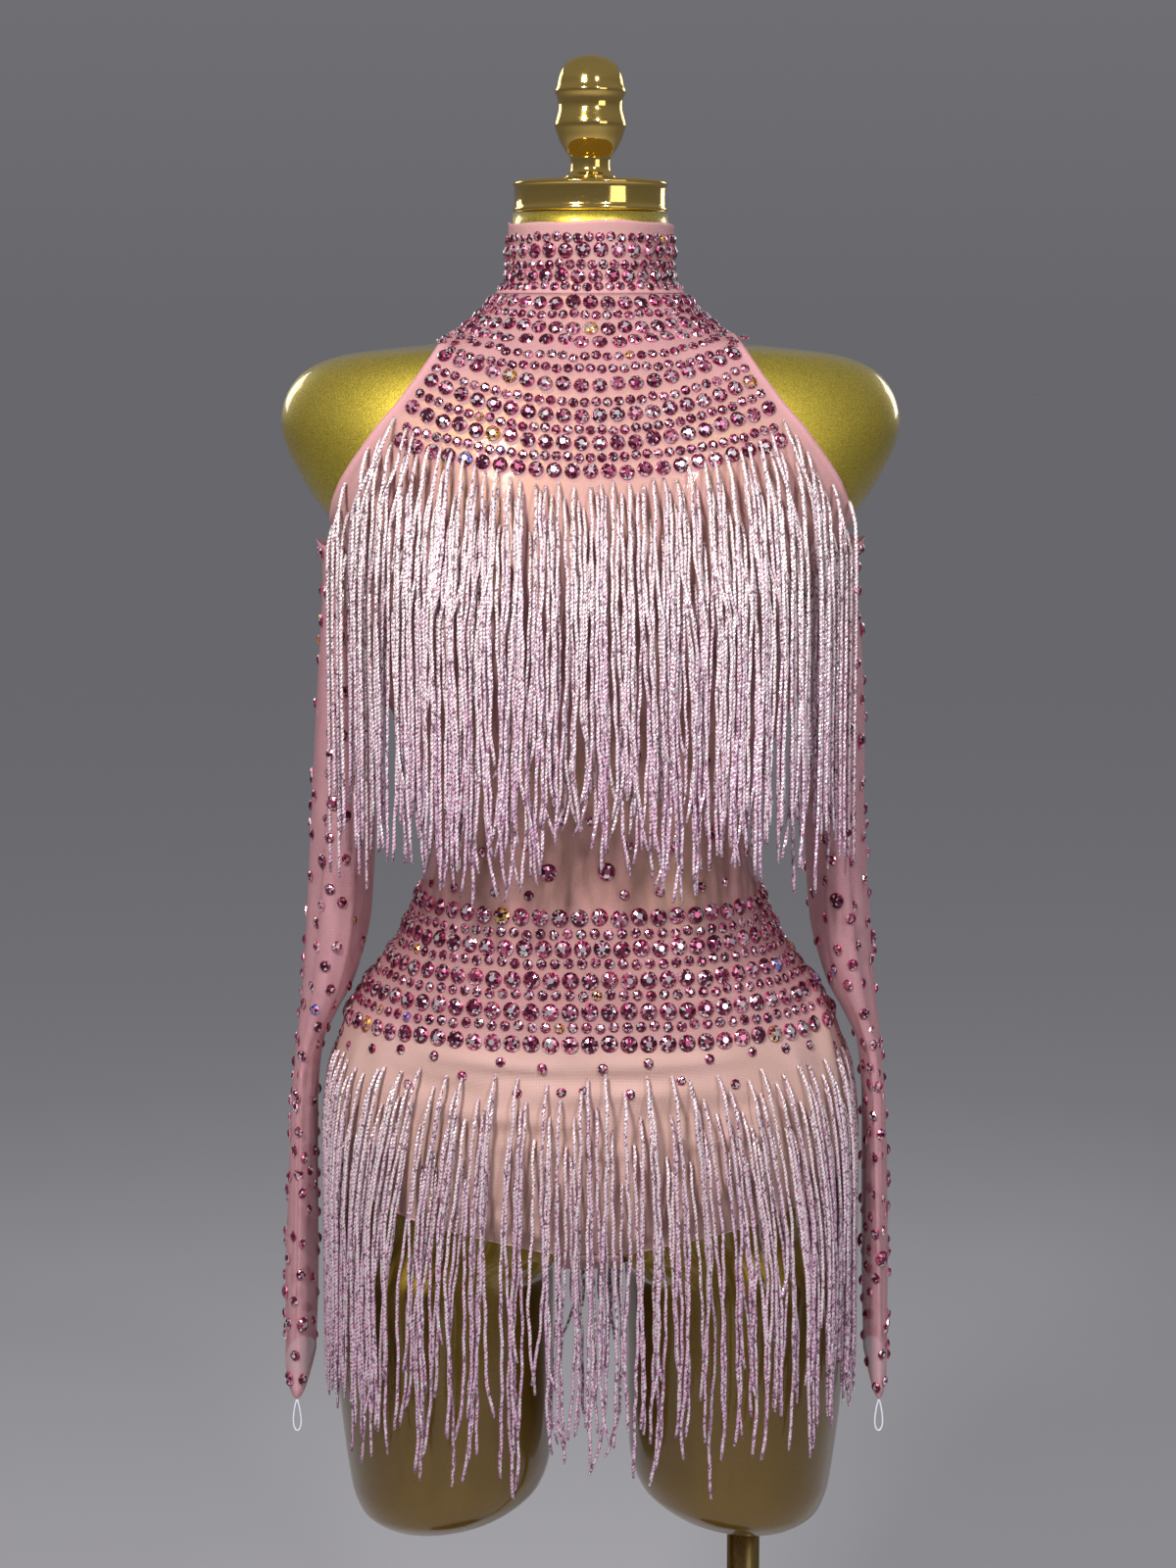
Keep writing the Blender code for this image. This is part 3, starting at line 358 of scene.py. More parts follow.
BACK_FOLDS = Table(
    FOLD_COLUMNS,
    (
        (-0.090, -0.2450, -0.020, -0.2900, 0.0055, 0.0020),
        (0.085, -0.2500, 0.018, -0.2980, 0.0055, 0.0018),
        (-0.094, -0.2700, -0.014, -0.3180, 0.0050, -0.0014),
        (0.090, -0.2820, 0.020, -0.3250, 0.0045, 0.0016),
        (-0.098, -0.3060, -0.030, -0.3400, 0.0045, 0.0018),
        (0.100, -0.3080, 0.036, -0.3440, 0.0050, -0.0013),
        (-0.120, -0.1200, -0.070, -0.1750, 0.0065, 0.0016),
        (0.118, -0.1150, 0.066, -0.1820, 0.0065, 0.0018),
        (-0.140, -0.1500, -0.094, -0.2050, 0.0060, -0.0013),
        (0.136, -0.1600, 0.090, -0.2000, 0.0060, 0.0013),
        (-0.110, -0.4560, -0.010, -0.4620, 0.0045, 0.0016),
        (0.014, -0.4540, 0.116, -0.4500, 0.0045, -0.0013),
        (0.020, -0.4680, 0.100, -0.4720, 0.0050, 0.0014),
        (-0.150, -0.4480, -0.158, -0.5050, 0.0045, 0.0016),
        (0.150, -0.4450, 0.160, -0.5000, 0.0040, 0.0018),
        (-0.100, -0.5250, -0.046, -0.5560, 0.0055, 0.0014),
        (0.098, -0.5200, 0.040, -0.5570, 0.0055, 0.0016),
        (-0.050, -0.0300, -0.064, -0.0900, 0.0060, 0.0012),
        (0.056, -0.0340, 0.070, -0.1000, 0.0060, 0.0013),
    ),
)

SLEEVE_FOLD_COLUMNS = ("turn", "top", "bottom", "drift", "width", "depth")
LEFT_SLEEVE_FOLDS = Table(
    SLEEVE_FOLD_COLUMNS,
    (
        (0.35, -0.150, -0.400, 0.35, 0.16, -0.0022),
        (-0.45, -0.180, -0.560, -0.20, 0.14, 0.0016),
        (0.80, -0.300, -0.640, -0.30, 0.15, -0.0020),
        (-0.95, -0.240, -0.480, 0.30, 0.18, -0.0024),
        (2.30, -0.160, -0.420, 0.30, 0.16, -0.0022),
        (2.80, -0.330, -0.650, -0.25, 0.14, 0.0016),
        (-2.20, -0.200, -0.600, 0.25, 0.17, -0.0020),
        (0.10, -0.480, -0.660, 0.15, 0.16, -0.0016),
        (-2.75, -0.170, -0.330, -0.20, 0.14, 0.0014),
    ),
)
RIGHT_SLEEVE_FOLDS = Table(
    SLEEVE_FOLD_COLUMNS,
    (
        (0.20, -0.160, -0.460, 0.40, 0.15, -0.0020),
        (-0.60, -0.140, -0.420, -0.25, 0.16, -0.0022),
        (0.70, -0.360, -0.650, -0.35, 0.15, -0.0018),
        (-0.30, -0.420, -0.640, 0.25, 0.13, 0.0016),
        (2.10, -0.200, -0.520, 0.35, 0.17, -0.0022),
        (2.90, -0.150, -0.380, -0.20, 0.14, 0.0014),
        (-2.40, -0.240, -0.650, 0.20, 0.16, -0.0020),
        (1.20, -0.150, -0.300, -0.20, 0.16, 0.0014),
    ),
)

FINIAL_PROFILE = Table(
    ("radius", "height"),
    (
        (0.0164, 0.1041),
        (0.0164, 0.1068),
        (0.0126, 0.1095),
        (0.0126, 0.1190),
        (0.0156, 0.1212),
        (0.0200, 0.1290),
        (0.0218, 0.1345),
        (0.0233, 0.1385),
        (0.0226, 0.1420),
        (0.0202, 0.1500),
        (0.0212, 0.1560),
        (0.0233, 0.1600),
        (0.0216, 0.1635),
        (0.0208, 0.1690),
        (0.0176, 0.1765),
        (0.0108, 0.1815),
        (0.0, 0.1832),
    ),
)


# The form's surface


def form_point(angle: Array, height: Array) -> Array:
    """Points of the form above the crotch.

    A ring is a superellipse: across is the half width times the sine of the angle to the power 2 / squareness, and
    along is the front or back depth times its cosine to that power. A round swell adds the bust.
    """
    angle, height = np.broadcast_arrays(np.asarray(angle, float), np.asarray(height, float))
    power = 2 / FORM_RINGS.at("squareness", height)
    widest_y = FORM_RINGS.at("widest_y", height)
    across = np.sign(np.sin(angle)) * np.abs(np.sin(angle)) ** power
    along = np.sign(np.cos(angle)) * np.abs(np.cos(angle)) ** power
    front = FORM_RINGS.at("front", height) + widest_y
    back = FORM_RINGS.at("back", height) - widest_y
    x = FORM_RINGS.at("half_width", height) * across
    y = widest_y - np.where(along > 0, front, back) * along
    away = (np.abs(x) - BUST_CENTRE_X) ** 2 + (height - BUST_HEIGHT) ** 2
    y = y - BUST_SWELL * np.exp(-away / (2 * BUST_SPREAD**2)) * np.clip(along, 0, 1)
    return np.stack([x, y, height], axis=-1)


def form_normal(angle: Array, height: Array) -> Array:
    """Outward unit normals of the form, from differences of the surface across a small step each way."""
    step = 0.002
    around = form_point(angle + step, height) - form_point(angle - step, height)
    down = form_point(angle, height - step) - form_point(angle, height + step)
    return unit(np.cross(down, around))


def side_angle(half_width: Array, height: Array) -> Array:
    """The angle from the centre at which the form's ring is this wide, and a quarter turn where it never is."""
    share = np.clip(half_width / FORM_RINGS.at("half_width", height), 0, 1)
    return np.arcsin(share ** (FORM_RINGS.at("squareness", height) / 2))


def unit(vectors: Array) -> Array:
    """The vectors at length 1."""
    return vectors / np.maximum(np.linalg.norm(vectors, axis=-1, keepdims=True), 1e-12)


def fold_lift(folds: Table, x: Array, z: Array) -> Array:
    """How far the folds raise the cloth at these places.

    Each fold is its depth times a bell curve of the distance from its line, over its width, and it swells from a
    third at its ends to its full depth at its middle.
    """
    start = np.stack([folds.column("x0"), folds.column("z0")], axis=-1)
    run = np.stack([folds.column("x1"), folds.column("z1")], axis=-1) - start
    place = np.stack([x, z], axis=-1)[..., None, :] - start
    along = np.clip((place * run).sum(-1) / (run * run).sum(-1), 0, 1)
    away = np.linalg.norm(place - along[..., None] * run, axis=-1)
    swell = 0.33 + 0.67 * np.sin(math.pi * along)
    return (FOLD_DEPTH * folds.column("depth") * swell * np.exp(-((away / folds.column("width")) ** 2))).sum(-1)


FOLD_DEPTH = 1.75
CLOTH_THICKNESS = 0.0006
CLOTH_LIFT = 0.0012
LEAST_CLEARANCE = 0.0004


def cloth_clearance(angle: Array, height: Array) -> Array:
    """How far the body cloth's inner side stands off the form: the ease plus the folds."""
    x = form_point(angle, height)[..., 0]
    folded = np.where(np.cos(angle) > 0, fold_lift(FRONT_FOLDS, x, height), fold_lift(BACK_FOLDS, x, height))
    out = CLOTH_EASE.linear("clearance", height) + folded * np.clip(8 * np.abs(np.cos(angle)), 0, 1)
    return np.maximum(out, LEAST_CLEARANCE)


def cloth_point(angle: Array, height: Array, lift: Array | float = CLOTH_LIFT) -> Array:
    """Points of the body cloth: the form's point moved out by the clearance and the lift."""
    angle, height = np.broadcast_arrays(np.asarray(angle, float), np.asarray(height, float))
    out = cloth_clearance(angle, height) + lift
    return form_point(angle, height) + form_normal(angle, height) * out[..., None]


def world(points: Array) -> Array:
    """Points with their heights measured from the floor."""
    return np.asarray(points, float) + np.array([0.0, 0.0, SHOULDER_HEIGHT])


# Meshes


class MeshParts:
    """Gathers points, faces and their values as arrays, and makes one mesh object of them."""

    def __init__(self) -> None:
        """Starts empty."""
        self.points: list[Array] = []
        self.faces: list[Array] = []
        self.places: list[Array] = []
        self.values: dict[str, list[Array]] = {}
        self.tones: list[Array] = []
        self.count = 0

    def add_points(self, points: Array, **values: Array | float) -> Array:
        """Adds points with values for each, and returns their numbers in the points' own layout."""
        layout = points.shape[:-1]
        flat = points.reshape(-1, 3)
        self.points.append(flat)
        for name, value in values.items():
            spread = np.broadcast_to(np.asarray(value, float), layout).reshape(-1)
            self.values.setdefault(name, []).append(spread)
        numbers = self.count + np.arange(len(flat)).reshape(layout)
        self.count += len(flat)
        return numbers

    def add_faces(self, numbers: Array, places: Array | None = None, tone: Array | float = 0.0) -> None:
        """Adds faces by point number, with a map place for each corner and a tone for each face."""
        if places is None:
            places = np.zeros(numbers.shape + (2,))
        self.faces.append(numbers)
        self.places.append(places)
        self.tones.append(np.broadcast_to(np.asarray(tone, float), numbers.shape[:1]))

    def grid(self, numbers: Array, places: Array, ring: bool = False) -> None:
        """Adds the faces of a grid whose rows run down and whose columns run round anticlockwise from above.

        Args:
            numbers: point numbers, rows by columns.
            places: map places, rows by columns, with one more column on a ring.
            ring: True where the last column joins the first.
        """
        around = np.concatenate([numbers, numbers[:, :1]], axis=1) if ring else numbers
        corners = [around[:-1, :-1], around[1:, :-1], around[1:, 1:], around[:-1, 1:]]
        spots = [places[:-1, :-1], places[1:, :-1], places[1:, 1:], places[:-1, 1:]]
        self.add_faces(
            np.stack(corners, axis=-1).reshape(-1, 4),
            np.stack(spots, axis=-2).reshape(-1, 4, 2),
        )

    def object(self, name: str, finish: bpy.types.Material, smooth: bool = True, merge: float = 0.0) -> bpy.types.Object:
        """The mesh object of all that was gathered, with its faces turned outwards.

        Args:
            name: the piece's name.
            finish: its material.
            smooth: True for smooth shading.
            merge: points nearer than this become one.

        Returns:
            The new object, linked to the scene.
        """
        mesh = bpy.data.meshes.new(name)
        points = np.concatenate(self.points)
        corners = np.concatenate([faces.reshape(-1) for faces in self.faces])
        sizes = np.concatenate([np.full(len(faces), faces.shape[1]) for faces in self.faces])
        mesh.vertices.add(len(points))
        mesh.vertices.foreach_set("co", points.astype(np.float32).reshape(-1))
        mesh.loops.add(len(corners))
        mesh.loops.foreach_set("vertex_index", corners.astype(np.int32))
        mesh.polygons.add(len(sizes))
        mesh.polygons.foreach_set("loop_start", (np.cumsum(sizes) - sizes).astype(np.int32))
        mesh.update(calc_edges=True)
        layer = mesh.uv_layers.new(name="UVMap")
        spots = np.concatenate([places.reshape(-1, 2) for places in self.places])
        layer.uv.foreach_set("vector", spots.astype(np.float32).reshape(-1))
        for key, parts in self.values.items():
            kept = mesh.attributes.new(key, "FLOAT", "POINT")
            kept.data.foreach_set("value", np.concatenate(parts).astype(np.float32))
        tones = np.repeat(np.concatenate(self.tones), sizes)
        if tones.any():
            kept = mesh.attributes.new("tone", "FLOAT", "CORNER")
            kept.data.foreach_set("value", tones.astype(np.float32))
        shape = bmesh.new()
        shape.from_mesh(mesh)
        if merge:
            bmesh.ops.remove_doubles(shape, verts=shape.verts, dist=merge)
        bmesh.ops.recalc_face_normals(shape, faces=shape.faces)
        shape.to_mesh(mesh)
        shape.free()
        if smooth:
            mesh.shade_smooth()
        else:
            mesh.shade_flat()
        mesh.materials.append(finish)
        made = bpy.data.objects.new(name, mesh)
        bpy.context.scene.collection.objects.link(made)
        return made


def thin_cloth(points: Array, normals: Array, places: Array, ring: bool, **values: Array) -> MeshParts:
    """A closed shell of cloth: the outer grid, the same grid moved in by the thickness, and rims between them.

    Args:
        points: the outer surface, rows by columns.
        normals: its outward normals.
        places: map places in metres of cloth, with one more column on a ring.
        ring: True for a tube.
        values: named values for each point.

    Returns:
        The gathered shell.
    """
    parts = MeshParts()
    outer = parts.add_points(world(points), **values)
    inner = parts.add_points(world(points - normals * CLOTH_THICKNESS), **values)
    parts.grid(outer, places, ring)
    parts.grid(inner[:, ::-1] if not ring else inner, places, ring)
    for row in (0, -1):
        rim = np.stack([outer[row], inner[row]])
        parts.grid(rim, np.stack([places[row], places[row]]), ring)
    if not ring:
        for side in (0, -1):
            rim = np.stack([outer[:, side], inner[:, side]])
            parts.grid(rim, np.stack([places[:, side], places[:, side]]))
    return parts


def cloth_places(points: Array, ring: bool) -> Array:
    """Map places in metres: the length along the row from its middle, and the length down the middle column."""
    if ring:
        points = np.concatenate([points, points[:, :1]], axis=1)
    across = np.cumsum(np.linalg.norm(np.diff(points, axis=1), axis=-1), axis=1)
    across = np.concatenate([np.zeros((len(points), 1)), across], axis=1)
    across -= across[:, -1:] / 2
    middle = points[:, points.shape[1] // 2]
    down = np.concatenate([[0], np.cumsum(np.linalg.norm(np.diff(middle, axis=0), axis=-1))])
    return np.stack([across, np.broadcast_to(down[:, None], across.shape)], axis=-1)


def cut_size(points: Array, ring: bool) -> tuple[tuple[float, float], float]:
    """The flat size of a piece of cloth, widest row by middle column, and the area of its grid."""
    places = cloth_places(points, ring)
    width = float((places[:, -1, 0] - places[:, 0, 0]).max())
    length = float(places[-1, 0, 1])
    if ring:
        points = np.concatenate([points, points[:, :1]], axis=1)
    across = points[:-1, 1:] - points[:-1, :-1]
    down = points[1:, :-1] - points[:-1, :-1]
    area = float(np.linalg.norm(np.cross(across, down), axis=-1).sum())
    return (width, length), min(area, width * length)


def tubes(paths: Array, radii: Array, sides: int, ring: bool, shade: Array) -> MeshParts:
    """Tubes of round section carried along many paths at once.

    A point of a tube is its path's point plus the radius times the cosine and sine of the turn along two directions
    that are square to the path.

    Args:
        paths: tubes by points by 3.
        radii: tubes by points.
        sides: sides of the section.
        ring: True where each path closes on itself.
        shade: tubes by points, a value for each.

    Returns:
        The gathered tubes, with map places of a turn from 0 to 1 and the length in metres.
    """
    ahead = np.roll(paths, -1, axis=1)
    behind = np.roll(paths, 1, axis=1)
    if not ring:
        ahead[:, -1] = paths[:, -1]
        behind[:, 0] = paths[:, 0]
    tangent = unit(ahead - behind)
    first = unit(np.cross(tangent, np.array([0.37, 0.92, 0.11])))
    second = np.cross(tangent, first)
    turns = np.linspace(0, FULL_TURN, sides, endpoint=False)
    out = first[:, :, None] * np.cos(turns)[:, None] + second[:, :, None] * np.sin(turns)[:, None]
    points = paths[:, :, None] + out * radii[:, :, None, None]
    parts = MeshParts()
    numbers = parts.add_points(points, shade=shade[:, :, None])
    steps = np.linalg.norm(np.diff(paths, axis=1), axis=-1)
    down = np.concatenate([np.zeros((len(paths), 1)), np.cumsum(steps, axis=1)], axis=1)
    around = np.linspace(0, 1, sides + 1)
    places = np.empty(paths.shape[:2] + (sides + 1, 2))
    places[..., 0] = around
    places[..., 1] = down[:, :, None]
    wrapped = np.concatenate([numbers, numbers[:, :, :1]], axis=2)
    if ring:
        wrapped = np.concatenate([wrapped, wrapped[:, :1]], axis=1)
        places = np.concatenate([places, places[:, -1:] + np.array([0, 0.001])], axis=1)
    picks = [(slice(None, -1), slice(None, -1)), (slice(None, -1), slice(1, None))]
    picks += [(slice(1, None), slice(1, None)), (slice(1, None), slice(None, -1))]
    parts.add_faces(
        np.stack([wrapped[:, i, j] for i, j in picks], axis=-1).reshape(-1, 4),
        np.stack([places[:, i, j] for i, j in picks], axis=-2).reshape(-1, 4, 2),
    )
    if not ring:
        parts.add_faces(numbers[:, 0])
        parts.add_faces(numbers[:, -1, ::-1])
    return parts


def turned(profile: Array, centre: tuple[float, float], sides: int) -> MeshParts:
    """A solid turned about an upright axis: each profile point's radius times the sine and cosine of the turn."""
    turns = np.linspace(0, FULL_TURN, sides, endpoint=False)
    radius, height = profile[::-1, 0][:, None], profile[::-1, 1][:, None]
    x = centre[0] + radius * np.sin(turns)
    y = centre[1] - radius * np.cos(turns)
    points = np.stack([x, y, np.broadcast_to(height, x.shape)], axis=-1)
    parts = MeshParts()
    numbers = parts.add_points(points)
    along = np.linspace(0, 1, len(profile))
    places = np.stack(np.meshgrid(np.linspace(0, 1, sides + 1), along), axis=-1)
    parts.grid(numbers, places, ring=True)
    return parts


def rounded(profile: Sequence[tuple[float, float]], pieces: int, passes: int) -> Array:
    """A profile cut into short pieces, with its corners eased by averaging each point with its neighbours."""
    known = np.array(profile, float)
    wanted = np.linspace(0, len(known) - 1, (len(known) - 1) * pieces + 1)
    fine = np.stack([np.interp(wanted, np.arange(len(known)), known[:, k]) for k in (0, 1)], axis=-1)
    for _ in range(passes):
        fine[1:-1] = (fine[:-2] + 2 * fine[1:-1] + fine[2:]) / 4
    return fine


# Shader maths


class Field:
    """A shader socket that takes part in Python sums. Each sum adds a Math node."""

    def __init__(self, shader: "Shader", socket: bpy.types.NodeSocket) -> None:
        """Wraps an output socket of the shader's tree."""
        self.shader = shader
        self.socket = socket

    def __add__(self, other: "Field | float") -> "Field":
        """This plus other."""
        return self.shader.math("ADD", self, other)

    __radd__ = __add__

    def __sub__(self, other: "Field | float") -> "Field":
        """This minus other."""
        return self.shader.math("SUBTRACT", self, other)

    def __rsub__(self, other: float) -> "Field":
        """Other minus this."""
        return self.shader.math("SUBTRACT", other, self)

    def __mul__(self, other: "Field | float") -> "Field":
        """This times other."""
        return self.shader.math("MULTIPLY", self, other)

    __rmul__ = __mul__

    def __truediv__(self, other: "Field | float") -> "Field":
        """This over other."""
        return self.shader.math("DIVIDE", self, other)

    def __pow__(self, other: "Field | float") -> "Field":
        """This to the power of other."""
        return self.shader.math("POWER", self, other)

    def sine(self) -> "Field":
        """The sine of this."""
        return self.shader.math("SINE", self, 0.0)

    def fraction(self) -> "Field":
        """What is left of this after its whole number."""
        return self.shader.math("FRACT", self, 0.0)

    def size(self) -> "Field":
        """This without its sign."""
        return self.shader.math("ABSOLUTE", self, 0.0)

    def over(self, limit: float, softness: float) -> "Field":
        """0 below the limit and 1 above it, with a ramp of this softness."""
        return self.shader.clamp((self - limit) / softness + 0.5)


Colour = tuple[float, float, float]
Value = Field | float | Colour


class Shader:
    """One material's node tree, with its Principled shader."""

    def __init__(self, name: str) -> None:
        """Makes the material and keeps hold of its shader node."""
        self.material = bpy.data.materials.new(name)
        self.material.use_nodes = True
        self.tree = self.material.node_tree
        self.principled = next(node for node in self.tree.nodes if node.type == "BSDF_PRINCIPLED")

    def node(self, kind: str, settings: dict[str, Any], inputs: dict[str | int, Any]) -> bpy.types.Node:
        """A node of this kind, with its settings made first and then its sockets filled or linked."""
        made = self.tree.nodes.new(kind)
        for name, value in settings.items():
            setattr(made, name, value)
        for name, value in inputs.items():
            self.fill(made.inputs[name], value)
        return made

    def fill(self, socket: bpy.types.NodeSocket, value: Any) -> None:
        """Links a field to the socket, or sets a plain value on it."""
        if isinstance(value, Field):
            self.tree.links.new(value.socket, socket)
        elif isinstance(value, tuple) and len(value) == 3 and socket.type == "RGBA":
            socket.default_value = (*value, 1.0)
        else:
            socket.default_value = value

    def math(self, operation: str, a: "Field | float", b: "Field | float") -> Field:
        """A Math node's result."""
        made = self.node("ShaderNodeMath", {"operation": operation}, {0: a, 1: b})
        return Field(self, made.outputs[0])

    def clamp(self, value: Field) -> Field:
        """The value kept between 0 and 1."""
        made = self.node("ShaderNodeClamp", {}, {"Value": value})
        return Field(self, made.outputs[0])

    def mix(self, share: Value, first: Value, second: Value) -> Field:
        """The first colour where the share is 0 and the second where it is 1."""
        made = self.node("ShaderNodeMix", {"data_type": "RGBA"}, {0: share, 6: first, 7: second})
        return Field(self, made.outputs[2])

    def attribute(self, name: str) -> Field:
        """A value that the mesh keeps for each point."""
        made = self.node("ShaderNodeAttribute", {"attribute_name": name}, {})
        return Field(self, made.outputs["Fac"])

    def place(self) -> tuple[Field, Field, Field]:
        """The map place as a vector, and its two numbers."""
        found = self.node("ShaderNodeUVMap", {"uv_map": "UVMap"}, {})
        split = self.node("ShaderNodeSeparateXYZ", {}, {0: Field(self, found.outputs[0])})
        return Field(self, found.outputs[0]), Field(self, split.outputs[0]), Field(self, split.outputs[1])

    def position(self) -> Field:
        """The place on the object, in metres."""
        made = self.node("ShaderNodeTexCoord", {}, {})
        return Field(self, made.outputs["Object"])

    def height(self) -> Field:
        """The height above the floor, in metres."""
        made = self.node("ShaderNodeSeparateXYZ", {}, {0: self.position()})
        return Field(self, made.outputs[2])

    def stretched(self, vector: Field, factors: Colour) -> Field:
        """The vector with each of its numbers multiplied."""
        made = self.node("ShaderNodeVectorMath", {"operation": "MULTIPLY"}, {0: vector, 1: factors})
        return Field(self, made.outputs[0])

    def noise(self, vector: Field, scale: float, detail: float = 2.0, roughness: float = 0.5) -> Field:
        """Soft noise from 0 to 1."""
        inputs = {"Vector": vector, "Scale": scale, "Detail": detail, "Roughness": roughness}
        return Field(self, self.node("ShaderNodeTexNoise", {}, inputs).outputs["Fac"])

    def cells(self, vector: Field, scale: float) -> Field:
        """The distance from the middle of scattered cells."""
        made = self.node("ShaderNodeTexVoronoi", {}, {"Vector": vector, "Scale": scale})
        return Field(self, made.outputs["Distance"])

    def ramp(self, value: Field, stops: Sequence[tuple[float, Colour]]) -> Field:
        """A colour for each value, read between the stops."""
        made = self.node("ShaderNodeValToRGB", {}, {})
        elements = made.color_ramp.elements
        while len(elements) < len(stops):
            elements.new(1.0)
        for element, (at, colour) in zip(elements, stops):
            element.position = at
            element.color = (*colour, 1.0)
        self.fill(made.inputs[0], value)
        return Field(self, made.outputs[0])

    def bump(self, height: Field, distance: float, strength: float = 1.0) -> Field:
        """A normal raised by the height times the distance, in metres."""
        inputs = {"Height": height, "Distance": distance, "Strength": strength}
        return Field(self, self.node("ShaderNodeBump", {}, inputs).outputs[0])

    def dress(self, **inputs: Any) -> bpy.types.Material:
        """Fills the Principled shader's sockets, their names with _ for spaces, and returns the material."""
        for name, value in inputs.items():
            self.fill(self.principled.inputs[name.replace("_", " ")], value)
        return self.material


# Finishes


@dataclass(frozen=True)
class SheerMesh:
    """Fine stretch mesh: see-through where it isn't lined, deeper in colour along hems and seams."""

    name: str = "sheer_mesh"
    sheer: Colour = (0.75, 0.38, 0.43)
    lined: Colour = (0.62, 0.42, 0.34)
    hem: Colour = (0.68, 0.31, 0.37)
    sheer_alpha: float = 0.30
    lined_alpha: float = 0.84
    pitch: float = 0.0019

    def material(self) -> bpy.types.Material:
        """Colour and alpha from the lining and hem values, with a woven net in bump and alpha."""
        shader = Shader(self.name)
        place, across, down = shader.place()
        lining = shader.attribute("lining")
        hem = shader.attribute("hem")
        turn = FULL_TURN / self.pitch
        net = ((across + down) * turn).sine() * ((across - down) * turn).sine()
        cloudy = shader.noise(place, 26.0, 1.0)
        fine = net * 0.5 + 0.5
        colour = shader.mix(lining, self.sheer, self.lined)
        colour = shader.mix(hem * 0.65, colour, self.hem)
        colour = shader.mix(cloudy * 0.35, colour, (0.86, 0.56, 0.60))
        colour = shader.mix(fine * 0.30, colour, (0.42, 0.16, 0.20))
        alpha = self.sheer_alpha + lining * (self.lined_alpha - self.sheer_alpha)
        alpha = shader.clamp(alpha + hem * 0.26 + net * 0.11 + (cloudy - 0.5) * 0.16)
        return shader.dress(
            Base_Color=colour,
            Alpha=alpha,
            Roughness=0.72 + fine * 0.14,
            Specular_IOR_Level=0.3,
            Normal=shader.bump(cloudy + net * 0.06, 0.0016),
        )


@dataclass(frozen=True)
class FringeCord:
    """Knitted cord with a bright metallic thread in it: slanting stitches, pale flecks and a few dark ones."""

    name: str = "fringe_cord"
    pale: Colour = (1.0, 0.87, 0.86)
    lilac: Colour = (0.58, 0.34, 0.50)
    painted_groove_shade: Colour = (0.34, 0.12, 0.20)
    bright: Colour = (1.0, 0.95, 0.96)
    dark: Colour = (0.13, 0.06, 0.10)
    stitch: float = 0.0026

    def material(self) -> bpy.types.Material:
        """Colour, roughness and bump from slanting stitches along the cord, with scattered flecks. The body runs from
        lilac to pale by each point's value: a random lightness for the strand, with painted light that is palest at the
        top of each tier. The stitch grooves carry painted shade.
        """
        shader = Shader(self.name)
        _, around, down = shader.place()
        slant = ((around * 2).fraction() - 0.5).size() * 1.3
        stitches = ((down / self.stitch + slant).fraction() - 0.5).size() * 2
        flecks = shader.noise(shader.stretched(shader.position(), (1.0, 1.0, 0.7)), 520.0, 1.0, 0.6)
        # Painted light: the body is palest at the top of each tier and darkens down the strands, over a random
        # lightness for each strand.
        body = shader.mix(shader.attribute("shade"), self.lilac, self.pale)
        # Painted shade: the recesses between the stitches are darkened.
        body = shader.mix(stitches.over(0.76, 0.35) * 0.55, body, self.painted_groove_shade)
        body = shader.mix(flecks.over(0.575, 0.04), body, self.bright)
        body = shader.mix((1 - flecks).over(0.60, 0.03) * 0.85, body, self.dark)
        shiny = flecks.over(0.575, 0.06)
        return shader.dress(
            Base_Color=body,
            Roughness=0.50 - shiny * 0.26,
            Metallic=shiny * 0.6 + 0.12,
            Normal=shader.bump(1 - stitches * 0.6 + flecks * 0.6, 0.0006),
        )


@dataclass(frozen=True)
class CutStone:
    """Foil-backed rose stones: the colour of each facet comes from its tone, which paints the facets' reflections and
    glints over their rose colour.
    """

    name: str = "rhinestones"

    def material(self) -> bpy.types.Material:
        """A dark plum to pale pink ramp of the facet's tone, whose dark and pale facets are painted reflections, with
        white stops for painted glints and a few amber and blue painted glints, under a clear coat.
        """
        shader = Shader(self.name)
        # Up to 0.70 the stops run from dark plum to pale pink, painted reflections over the rose colour; 0.80 to 0.85
        # are painted white glints, and 0.88 to 0.96 painted amber and blue glints.
        stops = (
            (0.00, (0.012, 0.002, 0.006)),
            (0.22, (0.070, 0.012, 0.030)),
            (0.40, (0.400, 0.045, 0.130)),
            (0.56, (0.880, 0.220, 0.360)),
            (0.70, (1.000, 0.600, 0.700)),
            (0.80, (1.000, 0.940, 0.970)),
            (0.85, (1.000, 0.940, 0.970)),
            (0.88, (1.000, 0.420, 0.050)),
            (0.93, (1.000, 0.600, 0.100)),
            (0.96, (0.250, 0.350, 1.000)),
        )
        facet = shader.ramp(shader.attribute("tone"), stops)
        mottle = shader.noise(shader.position(), 700.0, 1.0)
        colour = shader.mix(mottle * 0.25, facet, (0.30, 0.03, 0.10))
        return shader.dress(
            Base_Color=colour,
            Metallic=0.8,
            Roughness=0.12 + mottle * 0.10,
            Coat_Weight=0.4,
            Coat_Roughness=0.03,
        )


